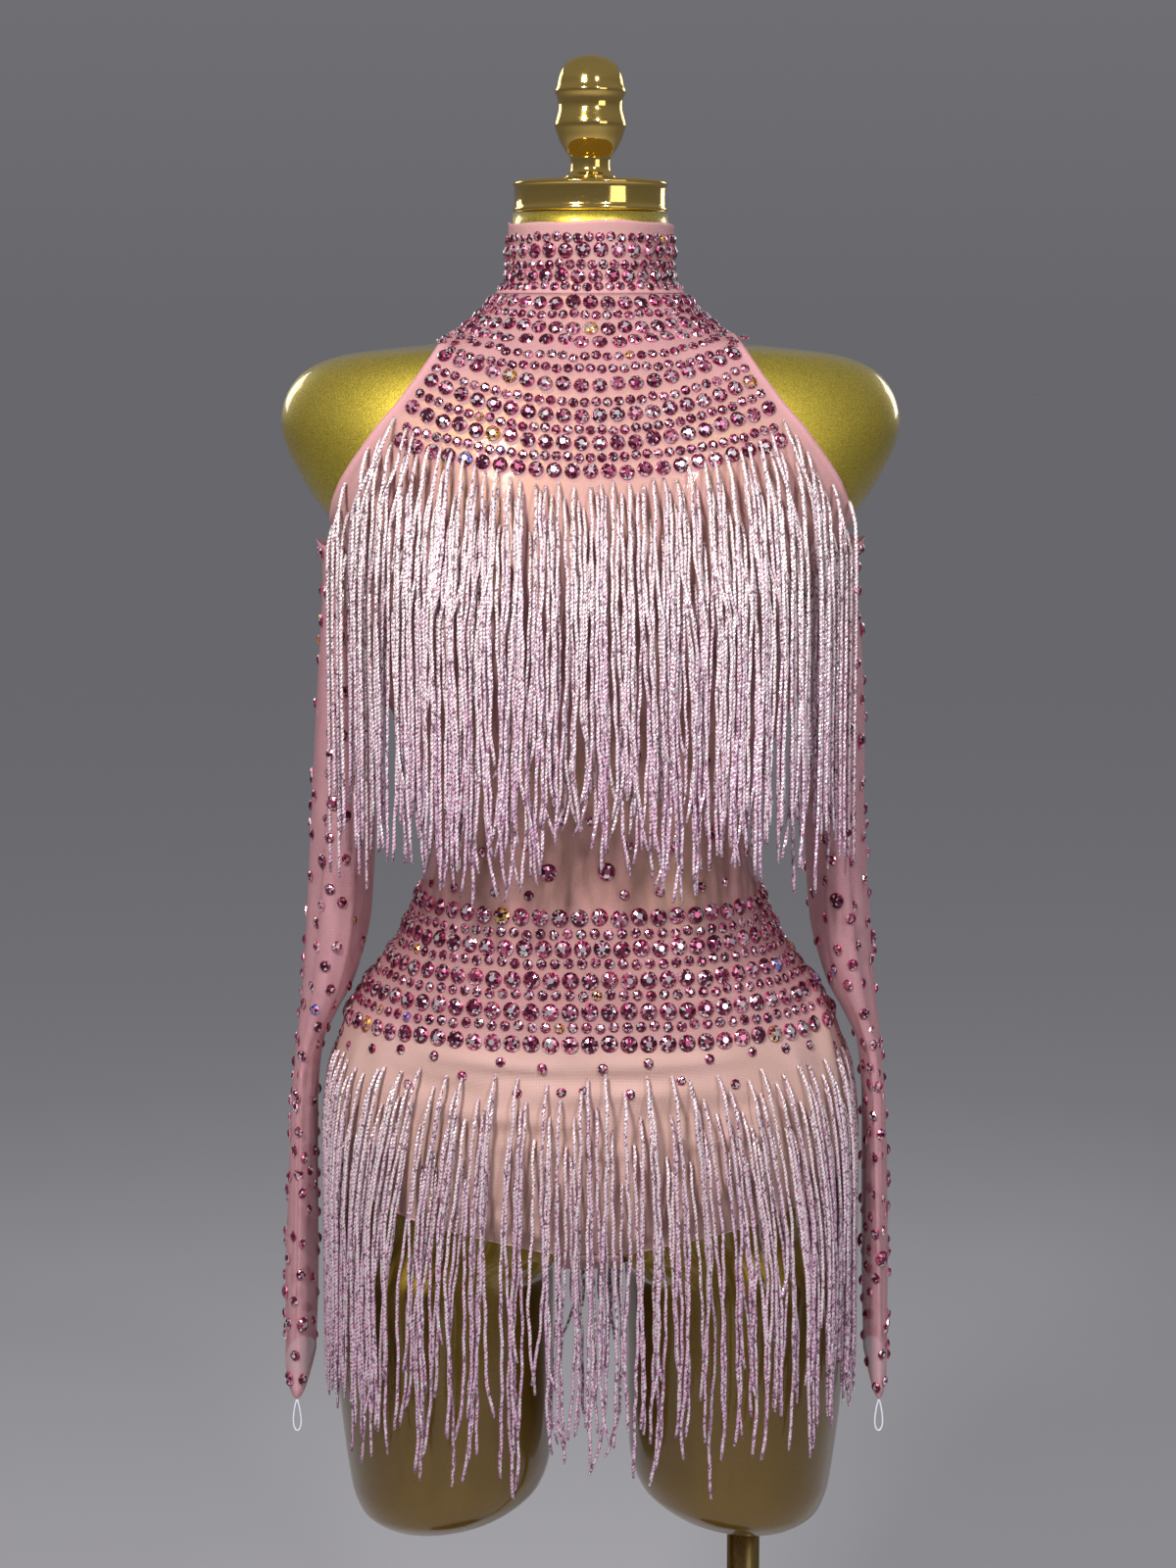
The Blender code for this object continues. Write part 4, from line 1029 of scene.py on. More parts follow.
@dataclass(frozen=True)
class PearlPaint:
    """Olive-gold pearl paint with a fine grain, under a glossy clear coat, with painted shade darkening it towards the
    thighs.
    """

    name: str = "form_paint"
    light: Colour = (0.80, 0.66, 0.07)
    deep: Colour = (0.24, 0.14, 0.012)
    # Painted shade: the dark brown that the paint is mixed towards low on the form, for the dimmer light on the thighs.
    low: Colour = (0.13, 0.056, 0.004)

    def material(self) -> bpy.types.Material:
        """Grain at about a millimetre in colour and roughness, with slow clouds in the coat, and painted shade that
        darkens the paint towards the thighs.
        """
        shader = Shader(self.name)
        spot = shader.position()
        grain = shader.noise(spot, 1100.0, 2.0, 0.7)
        flakes = shader.cells(spot, 900.0)
        clouds = shader.noise(spot, 9.0, 2.0)
        colour = shader.mix(grain.over(0.5, 0.5) * 0.75 + clouds * 0.2, self.deep, self.light)
        colour = shader.mix((1 - flakes).over(0.86, 0.08) * 0.35, colour, (0.95, 0.82, 0.35))
        # Painted shade: below 1.10 m the paint darkens towards the low colour, standing in for the dimmer light and
        # dark reflections on the thighs.
        drop = shader.clamp((1.10 - shader.height()) / 0.40)
        colour = shader.mix(drop * 0.86, colour, self.low)
        return shader.dress(
            Base_Color=colour,
            Metallic=0.88,
            Roughness=0.34 + grain * 0.14,
            Coat_Weight=1.0,
            Coat_Roughness=0.04,
            Normal=shader.bump(grain, 0.00006),
        )


@dataclass(frozen=True)
class GoldPlate:
    """Mirror gold plate with faint polishing haze."""

    name: str = "polished_gold"
    colour: Colour = (0.86, 0.60, 0.17)
    worn: Colour = (0.62, 0.40, 0.10)

    def material(self) -> bpy.types.Material:
        """Almost a mirror, with haze in the roughness and fine handling marks."""
        shader = Shader(self.name)
        spot = shader.position()
        haze = shader.noise(spot, 55.0, 4.0, 0.6)
        marks = shader.noise(shader.stretched(spot, (1.0, 1.0, 6.0)), 260.0, 2.0)
        return shader.dress(
            Base_Color=shader.mix(haze * 0.45, self.colour, self.worn),
            Metallic=1.0,
            Roughness=0.045 + haze * 0.09 + marks.over(0.66, 0.06) * 0.08,
            Normal=shader.bump(haze * 0.6 + marks * 0.1, 0.00006),
        )


@dataclass(frozen=True)
class DarkBrass:
    """Dark polished brass with brushed streaks and a few worn, brighter patches."""

    name: str = "dark_brass"
    colour: Colour = (0.34, 0.23, 0.085)
    worn: Colour = (0.62, 0.44, 0.18)

    def material(self) -> bpy.types.Material:
        """Upright streaks in colour and roughness, and scattered wear."""
        shader = Shader(self.name)
        spot = shader.position()
        streaks = shader.noise(shader.stretched(spot, (1.0, 1.0, 0.06)), 420.0, 2.0)
        wear = shader.noise(spot, 34.0, 4.0, 0.7)
        colour = shader.mix(wear.over(0.62, 0.12) * 0.6, self.colour, self.worn)
        colour = shader.mix(streaks * 0.35, colour, (0.14, 0.09, 0.03))
        return shader.dress(
            Base_Color=colour,
            Metallic=1.0,
            Roughness=0.20 + streaks * 0.16,
            Normal=shader.bump(streaks, 0.00005),
        )


@dataclass(frozen=True)
class ClearElastic:
    """Pale bluish elastic cord with a fine twist."""

    name: str = "loop_cord"

    def material(self) -> bpy.types.Material:
        """A twist of two tones along the cord, in colour and bump."""
        shader = Shader(self.name)
        _, around, down = shader.place()
        twist = (around * FULL_TURN + down * 6000).sine()
        return shader.dress(
            Base_Color=shader.mix(twist * 0.5 + 0.5, (0.62, 0.70, 0.86), (0.90, 0.93, 0.98)),
            Roughness=0.34 + twist * 0.06,
            Coat_Weight=0.5,
            Normal=shader.bump(twist, 0.0001),
        )


@dataclass(frozen=True)
class FloorPaint:
    """Plain pale matt floor."""

    name: str = "floor_paint"
    colour: Colour = (0.60, 0.59, 0.61)

    def material(self) -> bpy.types.Material:
        """A pale grey with the slightest clouding."""
        shader = Shader(self.name)
        clouds = shader.noise(shader.position(), 1.2, 2.0)
        colour = shader.mix(clouds * 0.2, self.colour, (0.55, 0.54, 0.57))
        return shader.dress(Base_Color=colour, Roughness=0.85)


@dataclass(frozen=True)
class Finishes:
    """Every material of the model, made once."""

    cloth: bpy.types.Material
    fringe: bpy.types.Material
    stone: bpy.types.Material
    paint: bpy.types.Material
    gold: bpy.types.Material
    brass: bpy.types.Material
    elastic: bpy.types.Material


def make_finishes() -> Finishes:
    """Makes all the materials."""
    return Finishes(
        SheerMesh().material(),
        FringeCord().material(),
        CutStone().material(),
        PearlPaint().material(),
        GoldPlate().material(),
        DarkBrass().material(),
        ClearElastic().material(),
    )


def seat(piece: bpy.types.Object, slot: str, *nodes: str) -> bpy.types.Object:
    """Makes the piece ride on the part's body and stand for the nodes."""
    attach(piece, BODY)
    if nodes:
        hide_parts(*nodes)
    log.info("%s: %d faces", piece.name, len(piece.data.polygons))
    return piece


# The dress form and its stand


@dataclass
class DressForm:
    """The limbless form: torso, saddle between the thighs, and two thigh stumps."""

    side_columns: int = 65
    ring_pieces: int = 5
    saddle_rows: int = 24
    blend_rows: int = 8
    thigh_rows: int = 60
    easing: int = 5

    def torso(self) -> Array:
        """Rings from the neck to the crotch, with the places of the thigh gap's sides among their columns."""
        known = FORM_RINGS.column("height")
        count = (len(known) - 1) * self.ring_pieces + 1
        heights = np.interp(np.linspace(0, len(known) - 1, count), np.arange(len(known)), known)
        inner = float(side_angle(np.array(THIGH_GAP_HALF), np.array(CROTCH_HEIGHT)))
        right = np.linspace(inner, math.pi - inner, self.side_columns)
        angles = np.concatenate([[0.0], right, [math.pi], FULL_TURN - right[::-1]])
        rings = form_point(angles[None, :], heights[:, None])
        for _ in range(self.easing):
            rings[1:-1] = (rings[:-2] + 2 * rings[1:-1] + rings[2:]) / 4
        return rings

    def saddle(self, last: Array) -> Array:
        """The half-ellipse between the thighs, from the front of the last ring to its back.

        Its y is the middle minus half the length times the cosine of the turn, and its z is the crotch's height
        minus the sag times the sine.
        """
        turns = np.linspace(0, math.pi, self.saddle_rows + 1)[:, None]
        front = last[[-1, 0, 1]]
        back = last[[self.side_columns + 2, self.side_columns + 1, self.side_columns]]
        middle, half = (front + back) / 2, (back - front) / 2
        y = middle[:, 1] - half[:, 1] * np.cos(turns)
        z = CROTCH_HEIGHT - CROTCH_SAG * np.sin(turns)
        x = np.broadcast_to(front[:, 0], y.shape)
        return np.stack([x, y, z + 0 * y], axis=-1)

    def thigh(self, start: Array, side: int) -> Array:
        """Rings of a thigh: ellipses about the leg's axis, blended in from the ring that the torso and saddle leave."""
        top = float(THIGH_RINGS.column("height")[0])
        known = THIGH_RINGS.column("height")
        count = (len(known) - 1) * self.thigh_rows // (len(known) - 1) + 1
        heights = np.interp(np.linspace(0, len(known) - 1, count), np.arange(len(known)), known)
        rings = self.thigh_ring(start, heights[:, None], side)
        share = np.linspace(0, 1, self.blend_rows + 1)[:-1, None, None]
        eased = share * share * (3 - 2 * share)
        first = self.thigh_ring(start, np.array([[top]]), side)
        blend = start + (first - start) * np.concatenate([eased, eased, share], axis=-1)
        tip = np.broadcast_to([side * 0.096, 0.006, THIGH_BOTTOM], (1, len(start), 3))
        return np.concatenate([blend, rings, tip])

    def thigh_ring(self, start: Array, height: Array, side: int) -> Array:
        """Rings at these heights, each point in the same direction from the axis as in the starting ring."""
        centre_x, half_width = THIGH_RINGS.at("centre_x", height), THIGH_RINGS.at("half_width", height)
        centre_y, half_depth = THIGH_RINGS.at("centre_y", height), THIGH_RINGS.at("half_depth", height)
        across = (start[:, 0] * side - THIGH_RINGS.rows[0][1]) / THIGH_RINGS.rows[0][2]
        along = (start[:, 1] - THIGH_RINGS.rows[0][3]) / THIGH_RINGS.rows[0][4]
        turn = np.arctan2(across, along)
        x = centre_x + half_width * np.sin(turn)
        y = centre_y + half_depth * np.cos(turn)
        low = np.clip((THIGH_TILT_TOP - height) / THIGH_TILT_DROP, 0, 1)
        z = height + THIGH_TILT * low * (centre_x - x)
        return np.stack([x * side, y, z], axis=-1)

    def build(self, finishes: Finishes) -> None:
        """Makes the form as one closed surface."""
        torso = self.torso()
        saddle = self.saddle(torso[-1])
        parts = MeshParts()
        top = np.broadcast_to(torso[0].mean(0), torso[:1].shape)
        for grid, ring in ((np.concatenate([top, torso]), True), (saddle, False)):
            self.add(parts, grid, ring)
        count = self.side_columns
        right = np.concatenate([torso[-1, 1 : count + 1], saddle[-2:0:-1, 2]])
        left = np.concatenate([torso[-1, count + 2 :], saddle[1:-1, 0]])
        self.add(parts, self.thigh(right, 1), True)
        self.add(parts, self.thigh(left, -1), True)
        piece = parts.object("form_torso", finishes.paint, merge=1e-6)
        seat(piece, "form_paint", "dress_form")

    @staticmethod
    def add(parts: MeshParts, grid: Array, ring: bool) -> None:
        """Adds one grid of the form."""
        numbers = parts.add_points(world(grid))
        rows, columns = grid.shape[0], grid.shape[1] + ring
        places = np.stack(np.meshgrid(np.linspace(0, 1, columns), np.linspace(0, 1, rows)), axis=-1)
        parts.grid(numbers, places, ring)


@dataclass
class Stand:
    """Neck cap, finial, pole, socket and base, each turned about its own axis."""

    neck_top: float = 0.083
    neck_y: float = 0.012
    cap_radius: float = 0.050
    cap_thickness: float = 0.0205
    pole_radius: float = 0.011
    pole_x: float = 0.104
    pole_y: float = 0.006
    pole_in_thigh: float = 0.080
    base_radius: float = 0.190
    base_thickness: float = 0.010
    socket_radius: float = 0.024
    socket_height: float = 0.024
    sides: int = 128

    def cap_profile(self) -> list[tuple[float, float]]:
        """A flat disc with a rolled rim above and below a shallow waist."""
        low = SHOULDER_HEIGHT + self.neck_top + SEAM_GAP
        high = low + self.cap_thickness
        rim, waist = self.cap_radius, self.cap_radius - 0.0012
        return [
            (0.0, low), (rim - 0.003, low), (rim - 0.0008, low + 0.0006), (rim, low + 0.0018),
            (rim - 0.0004, low + 0.0032), (waist, low + 0.0042), (waist, high - 0.0042),
            (rim - 0.0004, high - 0.0032), (rim, high - 0.0020), (rim - 0.0008, high - 0.0008),
            (rim - 0.0028, high), (rim - 0.0060, high - 0.0003), (0.0, high - 0.0003),
        ]  # fmt: skip

    def build(self, finishes: Finishes) -> None:
        """Makes the five turned pieces."""
        cap = turned(rounded(self.cap_profile(), 3, 2), (0.0, self.neck_y), self.sides)
        seat(cap.object("neck_cap_disc", finishes.gold, merge=1e-6), "polished_gold", "neck_cap")
        shape = [(radius, SHOULDER_HEIGHT + height) for radius, height in FINIAL_PROFILE.rows]
        shape.insert(0, (0.0, shape[0][1]))
        finial = turned(rounded(shape, 8, 14), (0.0, self.neck_y), self.sides)
        seat(finial.object("finial_knob", finishes.gold, merge=1e-6), "polished_gold", "finial")
        top = SHOULDER_HEIGHT + THIGH_BOTTOM + self.pole_in_thigh
        foot = self.base_thickness + SEAM_GAP
        r = self.pole_radius
        pole = [(0.0, foot), (r - 0.0005, foot), (r, foot + 0.0005), (r, foot + 0.3), (r, top - 0.0005), (0.0, top)]
        where = (self.pole_x, self.pole_y)
        seat(turned(np.array(pole), where, 64).object("pole_tube", finishes.brass, merge=1e-6), "dark_brass", "pole")
        self.build_socket(finishes, where, foot)
        self.build_base(finishes)

    def build_socket(self, finishes: Finishes, where: tuple[float, float], foot: float) -> None:
        """The stepped ring at the pole's foot, open where the pole goes through."""
        bore, wide, high = self.pole_radius + SEAM_GAP, self.socket_radius, foot + self.socket_height
        ring = [
            (bore, foot), (wide - 0.0006, foot), (wide, foot + 0.0006), (wide, foot + 0.010), (wide - 0.001, foot + 0.012),
            (wide - 0.0035, foot + 0.0165), (wide - 0.006, high - 0.001), (wide - 0.007, high), (bore, high), (bore, foot),
        ]  # fmt: skip
        socket = turned(np.array(ring), where, 72)
        seat(socket.object("pole_collar", finishes.brass, merge=1e-6), "dark_brass", "pole_socket")

    def build_base(self, finishes: Finishes) -> None:
        """The round foot plate, with a rolled rim."""
        wide, high = self.base_radius, self.base_thickness
        rim = [
            (0.0, 0.0), (wide - 0.0015, 0.0), (wide - 0.0003, 0.0008), (wide, 0.0025), (wide, high - 0.0042),
            (wide - 0.0008, high - 0.0016), (wide - 0.0030, high), (wide - 0.02, high), (0.06, high), (0.0, high),
        ]  # fmt: skip
        plate = turned(rounded(rim, 2, 1), (0.0, 0.0), 144)
        seat(plate.object("base_plate", finishes.brass, merge=1e-6), "dark_brass", "base")


# The body cloth


@dataclass(frozen=True)
class PanelCut:
    """A panel of the body: its free edge, the angle of its centre line and how its columns run."""

    edge: Table
    centre: float
    shares: Array

    def rows(self, row: Array, shares: Array) -> tuple[Array, Array]:
        """Angles and heights along rows that bend to their places on the edge.

        A row's height moves from its centre's height to its edge's by the square of the share, and its width is the
        edge's width scaled by the sine of the share of the edge's angle.
        """
        row, shares = np.broadcast_arrays(np.asarray(row, float), np.asarray(shares, float))
        edge_height = self.edge.linear("height", row)
        edge_width = self.edge.linear("half_width", row)
        ring_width = FORM_RINGS.at("half_width", edge_height)
        edge_angle = np.minimum(side_angle(edge_width, edge_height), math.pi / 2 - SEAM_GAP / 2 / ring_width)
        power = 2 / FORM_RINGS.at("squareness", edge_height)
        half_width = ring_width * np.abs(np.sin(shares * edge_angle)) ** power
        heights = row + (edge_height - row) * shares**2
        angles = np.sign(shares) * side_angle(half_width, heights)
        angles = np.where(np.abs(shares) == 1, np.sign(shares) * edge_angle, angles)
        return self.centre + angles, heights


FRONT = PanelCut(FRONT_EDGE, 0.0, np.linspace(-1, 1, 113))
YOKE = PanelCut(YOKE_EDGE, 0.0, np.linspace(-1, 1, 3))
BACK_LEFT = PanelCut(BACK_EDGE, math.pi, np.concatenate([[0.0012], np.linspace(0, 1, 57)[1:]]))
BACK_RIGHT = PanelCut(BACK_EDGE, math.pi, -np.concatenate([[0.0012], np.linspace(0, 1, 57)[1:]])[::-1])


@dataclass
class BodyCloth:
    """Front and back panels, crotch gusset and collar, each a thin shell over the form."""

    collar_top: float = 0.0765
    collar_seam: float = 0.0300
    gusset_half_width: float = 0.021
    hem_width: float = 0.0065

    def row_centres(self) -> Array:
        """Rows of a panel, close together where the edges turn."""
        stops = ((self.collar_seam - SEAM_GAP / 2, 36), (-0.086, 40), (-0.150, 112), (-0.505, 42))
        ends = [stop for stop, _ in stops[1:]] + [CROTCH_HEIGHT + SEAM_GAP / 2]
        parts = [np.linspace(start, end, count + 1)[:-1] for (start, count), end in zip(stops, ends)]
        return np.concatenate(parts + [np.array(ends[-1:])])

    def lining(self, height: Array) -> Array:
        """0 for bare mesh and 1 for lined cloth: the midriff is bare, the brief lined, the yoke between."""
        known = Table(("height", "lining"), ((0.08, 0.30), (0.0, 0.22), (-0.06, 0.26), (-0.10, 0.48), (-0.20, 0.40), (-0.27, 0.05),
            (-0.345, 0.0), (-0.36, 0.10), (-0.425, 0.20), (-0.442, 0.92), (-0.46, 1.0), (-0.60, 1.0)))  # fmt: skip
        return known.linear("lining", height)

    def panel(self, name: str, node: str, cut: PanelCut, finishes: Finishes) -> bpy.types.Object:
        """Makes one body panel and works out its flat size."""
        angles, heights = cut.rows(self.row_centres()[:, None], cut.shares[None, :])
        flat = cloth_point(angles, heights)
        width = np.linalg.norm(np.diff(flat, axis=1), axis=-1).sum(axis=1, keepdims=True)
        reach = (1 - np.abs(cut.shares)) * width / (np.ptp(cut.shares))
        inner = np.abs(cut.shares) * width / (np.ptp(cut.shares))
        away = reach if cut.centre == 0.0 else np.minimum(reach, inner)
        hem = np.clip(1.5 - away / self.hem_width * 1.5, 0, 1)
        points = cloth_point(angles, heights, CLOTH_LIFT + 0.0004 * hem)
        normals = form_normal(angles, heights)
        places = cloth_places(points, ring=False)
        lining = self.lining(heights)
        parts = thin_cloth(points, normals, places, False, lining=lining, hem=hem)
        piece = seat(parts.object(name, finishes.cloth), "sheer_mesh", node)
        self.declare(piece, points, ring=False)
        return piece

    @staticmethod
    def declare(piece: bpy.types.Object, points: Array, ring: bool) -> None:
        """Works out the cloth's flat size and area, and keeps neither."""
        flat, area = cut_size(points, ring)

    def gusset(self, finishes: Finishes) -> None:
        """The crotch strip: half-ellipses from the front panel's end to the back panels' end."""
        across = np.linspace(-self.gusset_half_width, self.gusset_half_width, 15)
        turns = np.linspace(0, math.pi, 41)
        angle = np.sign(across) * side_angle(np.abs(across), np.array(CROTCH_HEIGHT))
        drop = np.array([0.0, 0.0, SEAM_GAP])
        front = cloth_point(angle, CROTCH_HEIGHT) - drop
        back = cloth_point(math.pi - angle, CROTCH_HEIGHT) - drop
        middle, half = (front[:, 1] + back[:, 1]) / 2, (back[:, 1] - front[:, 1]) / 2
        y = middle - half * np.cos(turns)[:, None]
        sag = CROTCH_SAG + 0.0036
        z = front[:, 2] - sag * np.sin(turns)[:, None]
        points = np.stack([np.broadcast_to(across, y.shape), y, z + 0 * y], axis=-1)
        out = np.stack([0 * turns, -np.cos(turns) / half.mean(), -np.sin(turns) / sag], axis=-1)
        normals = np.broadcast_to(unit(out)[:, None], points.shape)
        hem = np.clip(1.5 - (self.gusset_half_width - np.abs(across)) / 0.006, 0, 1)
        parts = thin_cloth(points, normals, cloth_places(points, False), False, lining=1.0, hem=np.broadcast_to(hem, y.shape))
        piece = seat(parts.object("crotch_strip", finishes.cloth), "sheer_mesh", "gusset")
        self.declare(piece, points, ring=False)

    def collar(self, finishes: Finishes) -> None:
        """The high neck band, a ring with a slightly uneven top edge and an overlap at the centre back."""
        rise = np.linspace(0, 1, 27)[:, None]
        angles = np.linspace(-math.pi, math.pi, 144, endpoint=False)[None, :]
        uneven = 0.0007 * np.sin(3 * angles + 0.6) + 0.0005 * np.sin(7 * angles)
        top = self.collar_top + uneven
        heights = top + (self.collar_seam + SEAM_GAP / 2 - top) * rise
        edge = np.clip(1 - np.minimum(rise, 1 - rise) * 9, 0, 1)
        seam = np.exp(-((np.abs(np.abs(angles) - math.pi) / 0.05) ** 2))
        hem = np.clip(0.7 * edge + seam, 0, 1)
        points = cloth_point(angles, heights, CLOTH_LIFT + 0.0005 * hem + 0.0006 * np.sin(5 * angles) * (1 - rise))
        normals = form_normal(angles + 0 * heights, heights)
        parts = thin_cloth(points, normals, cloth_places(points, True), True, lining=0.45, hem=hem)
        piece = seat(parts.object("neck_band", finishes.cloth), "sheer_mesh", "collar")
        self.declare(piece, points, ring=True)

    def build(self, finishes: Finishes) -> None:
        """Makes the panels, the gusset and the collar."""
        self.panel("front_panel", "front_body", FRONT, finishes)
        self.panel("back_panel_left", "back_left", BACK_LEFT, finishes)
        self.panel("back_panel_right", "back_right", BACK_RIGHT, finishes)
        self.gusset(finishes)
        self.collar(finishes)


# Sleeves and finger loops


class Side(Enum):
    """Which side of the body a sleeve hangs on, by the sign of its x."""

    LEFT = -1
    RIGHT = 1


@dataclass(frozen=True)
class Sleeve:
    """A long, loose, empty sleeve that hangs from the underarm, with a pointed cuff."""

    side: Side
    table: Table
    folds: Table
    flare: float = 0.0035
    columns: int = 96
    rows: int = 130

    def fold(self, turn: Array, height: Array) -> Array:
        """How far the folds raise the cloth: troughs that run down the sleeve and drift round it."""
        total = np.zeros(np.broadcast(turn, height).shape)
        for centre, top, bottom, drift, width, depth in self.folds.rows:
            along = np.clip((top - height) / (top - bottom), 0, 1)
            away = (turn - centre - drift * along + math.pi) % FULL_TURN - math.pi
            total += 1.9 * depth * np.sin(math.pi * along) ** 0.8 * np.exp(-((away / width) ** 2))
        return total

    def surface(self, turn: Array, height: Array, lift: float = 0.0) -> tuple[Array, Array]:
        """Points and normals of the sleeve.

        A ring is an ellipse about the sleeve's axis. The folds move its points along its normal, the head flares on
        its outer side, and the lowest part dips at the front by the square of the cosine of the turn.
        """
        turn, height = np.broadcast_arrays(np.asarray(turn, float), np.asarray(height, float))
        inner, outer = self.table.at("inner_x", height), self.table.at("outer_x", height)
        half_width, half_depth = (outer - inner) / 2, self.table.at("half_depth", height)
        out_x, out_y = np.sin(turn) / half_width, -np.cos(turn) / half_depth
        size = np.hypot(out_x, out_y)
        out_x, out_y = out_x / size, out_y / size
        below = self.table.rows[0][0] - height
        flared = self.flare * np.exp(-below / 0.008) * np.clip(np.sin(turn), 0, 1) ** 2
        move = self.fold(turn, height) + flared + lift
        low = np.clip((CUFF_START - height) / (CUFF_START - self.table.rows[-1][0]), 0, 1) ** 1.5
        dip = CUFF_POINT * np.clip(np.cos(turn), 0, 1) ** 2 * low
        wave = 0.0012 * np.sin(3 * turn + 1) * np.exp(-below / 0.012)
        x = self.side.value * ((inner + outer) / 2 + half_width * np.sin(turn) + out_x * move)
        y = self.table.at("centre_y", height) - half_depth * np.cos(turn) + out_y * move
        normal = np.stack([self.side.value * out_x, out_y, 0 * out_x], axis=-1)
        return np.stack([x, y, height - dip - wave], axis=-1), normal

    def build(self, finishes: Finishes) -> None:
        """Makes the sleeve and its finger loop."""
        name = self.side.name.lower()
        turns = np.linspace(0, FULL_TURN, self.columns, endpoint=False)[None, :] * self.side.value
        top, bottom = self.table.rows[0][0], self.table.rows[-1][0]
        heights = np.linspace(top, bottom, self.rows)[:, None]
        points, normals = self.surface(turns, heights)
        edge = np.minimum(top - heights, heights - bottom)
        seam = np.exp(-(((np.abs(turns) - 1.5 * math.pi) / 0.05) ** 2))
        hem = np.clip(0.34 + np.clip(1.4 - edge / 0.006, 0, 1) + 0.8 * seam, 0, 1)
        parts = thin_cloth(points, normals, cloth_places(points, True), True, lining=0.04, hem=hem)
        piece = seat(parts.object(f"sleeve_{name}_cloth", finishes.cloth), "sheer_mesh", f"sleeve_{name}")
        flat, area = cut_size(points, ring=True)
        self.build_loop(name, finishes)

    def build_loop(self, name: str, finishes: Finishes) -> None:
        """A thin closed loop of cord below the cuff's point."""
        length, width, radius = 0.021, 0.007, 0.0006
        _, inner, outer, half_depth, centre_y = self.table.rows[-1]
        tip = np.array([
            self.side.value * (inner + outer) / 2,
            centre_y - half_depth + radius,
            self.table.rows[-1][0] - CUFF_POINT - radius - SEAM_GAP,
        ])
        turns = np.linspace(0, FULL_TURN, 48, endpoint=False)
        hang = length / 2 * (1 - np.cos(turns))
        spread = width / 2 * np.sin(turns) * (0.35 + 0.65 * hang / length)
        path = world(tip + np.stack([spread, 0 * turns, -hang], axis=-1))
        loop = tubes(path[None], np.full((1, 48), radius), 10, True, np.ones((1, 48)))
        seat(loop.object(f"cuff_loop_{name}", finishes.elastic), "loop_cord", f"finger_loop_{name}")


SLEEVES = (
    Sleeve(Side.LEFT, LEFT_SLEEVE, LEFT_SLEEVE_FOLDS),
    Sleeve(Side.RIGHT, RIGHT_SLEEVE, RIGHT_SLEEVE_FOLDS),
)


# Fringe


@dataclass(frozen=True)
class RootRow:
    """A row of strands: where they are sewn on, how many, how far out they hang, and where they end."""

    height: float
    strands: int
    layer: float
    tip: float


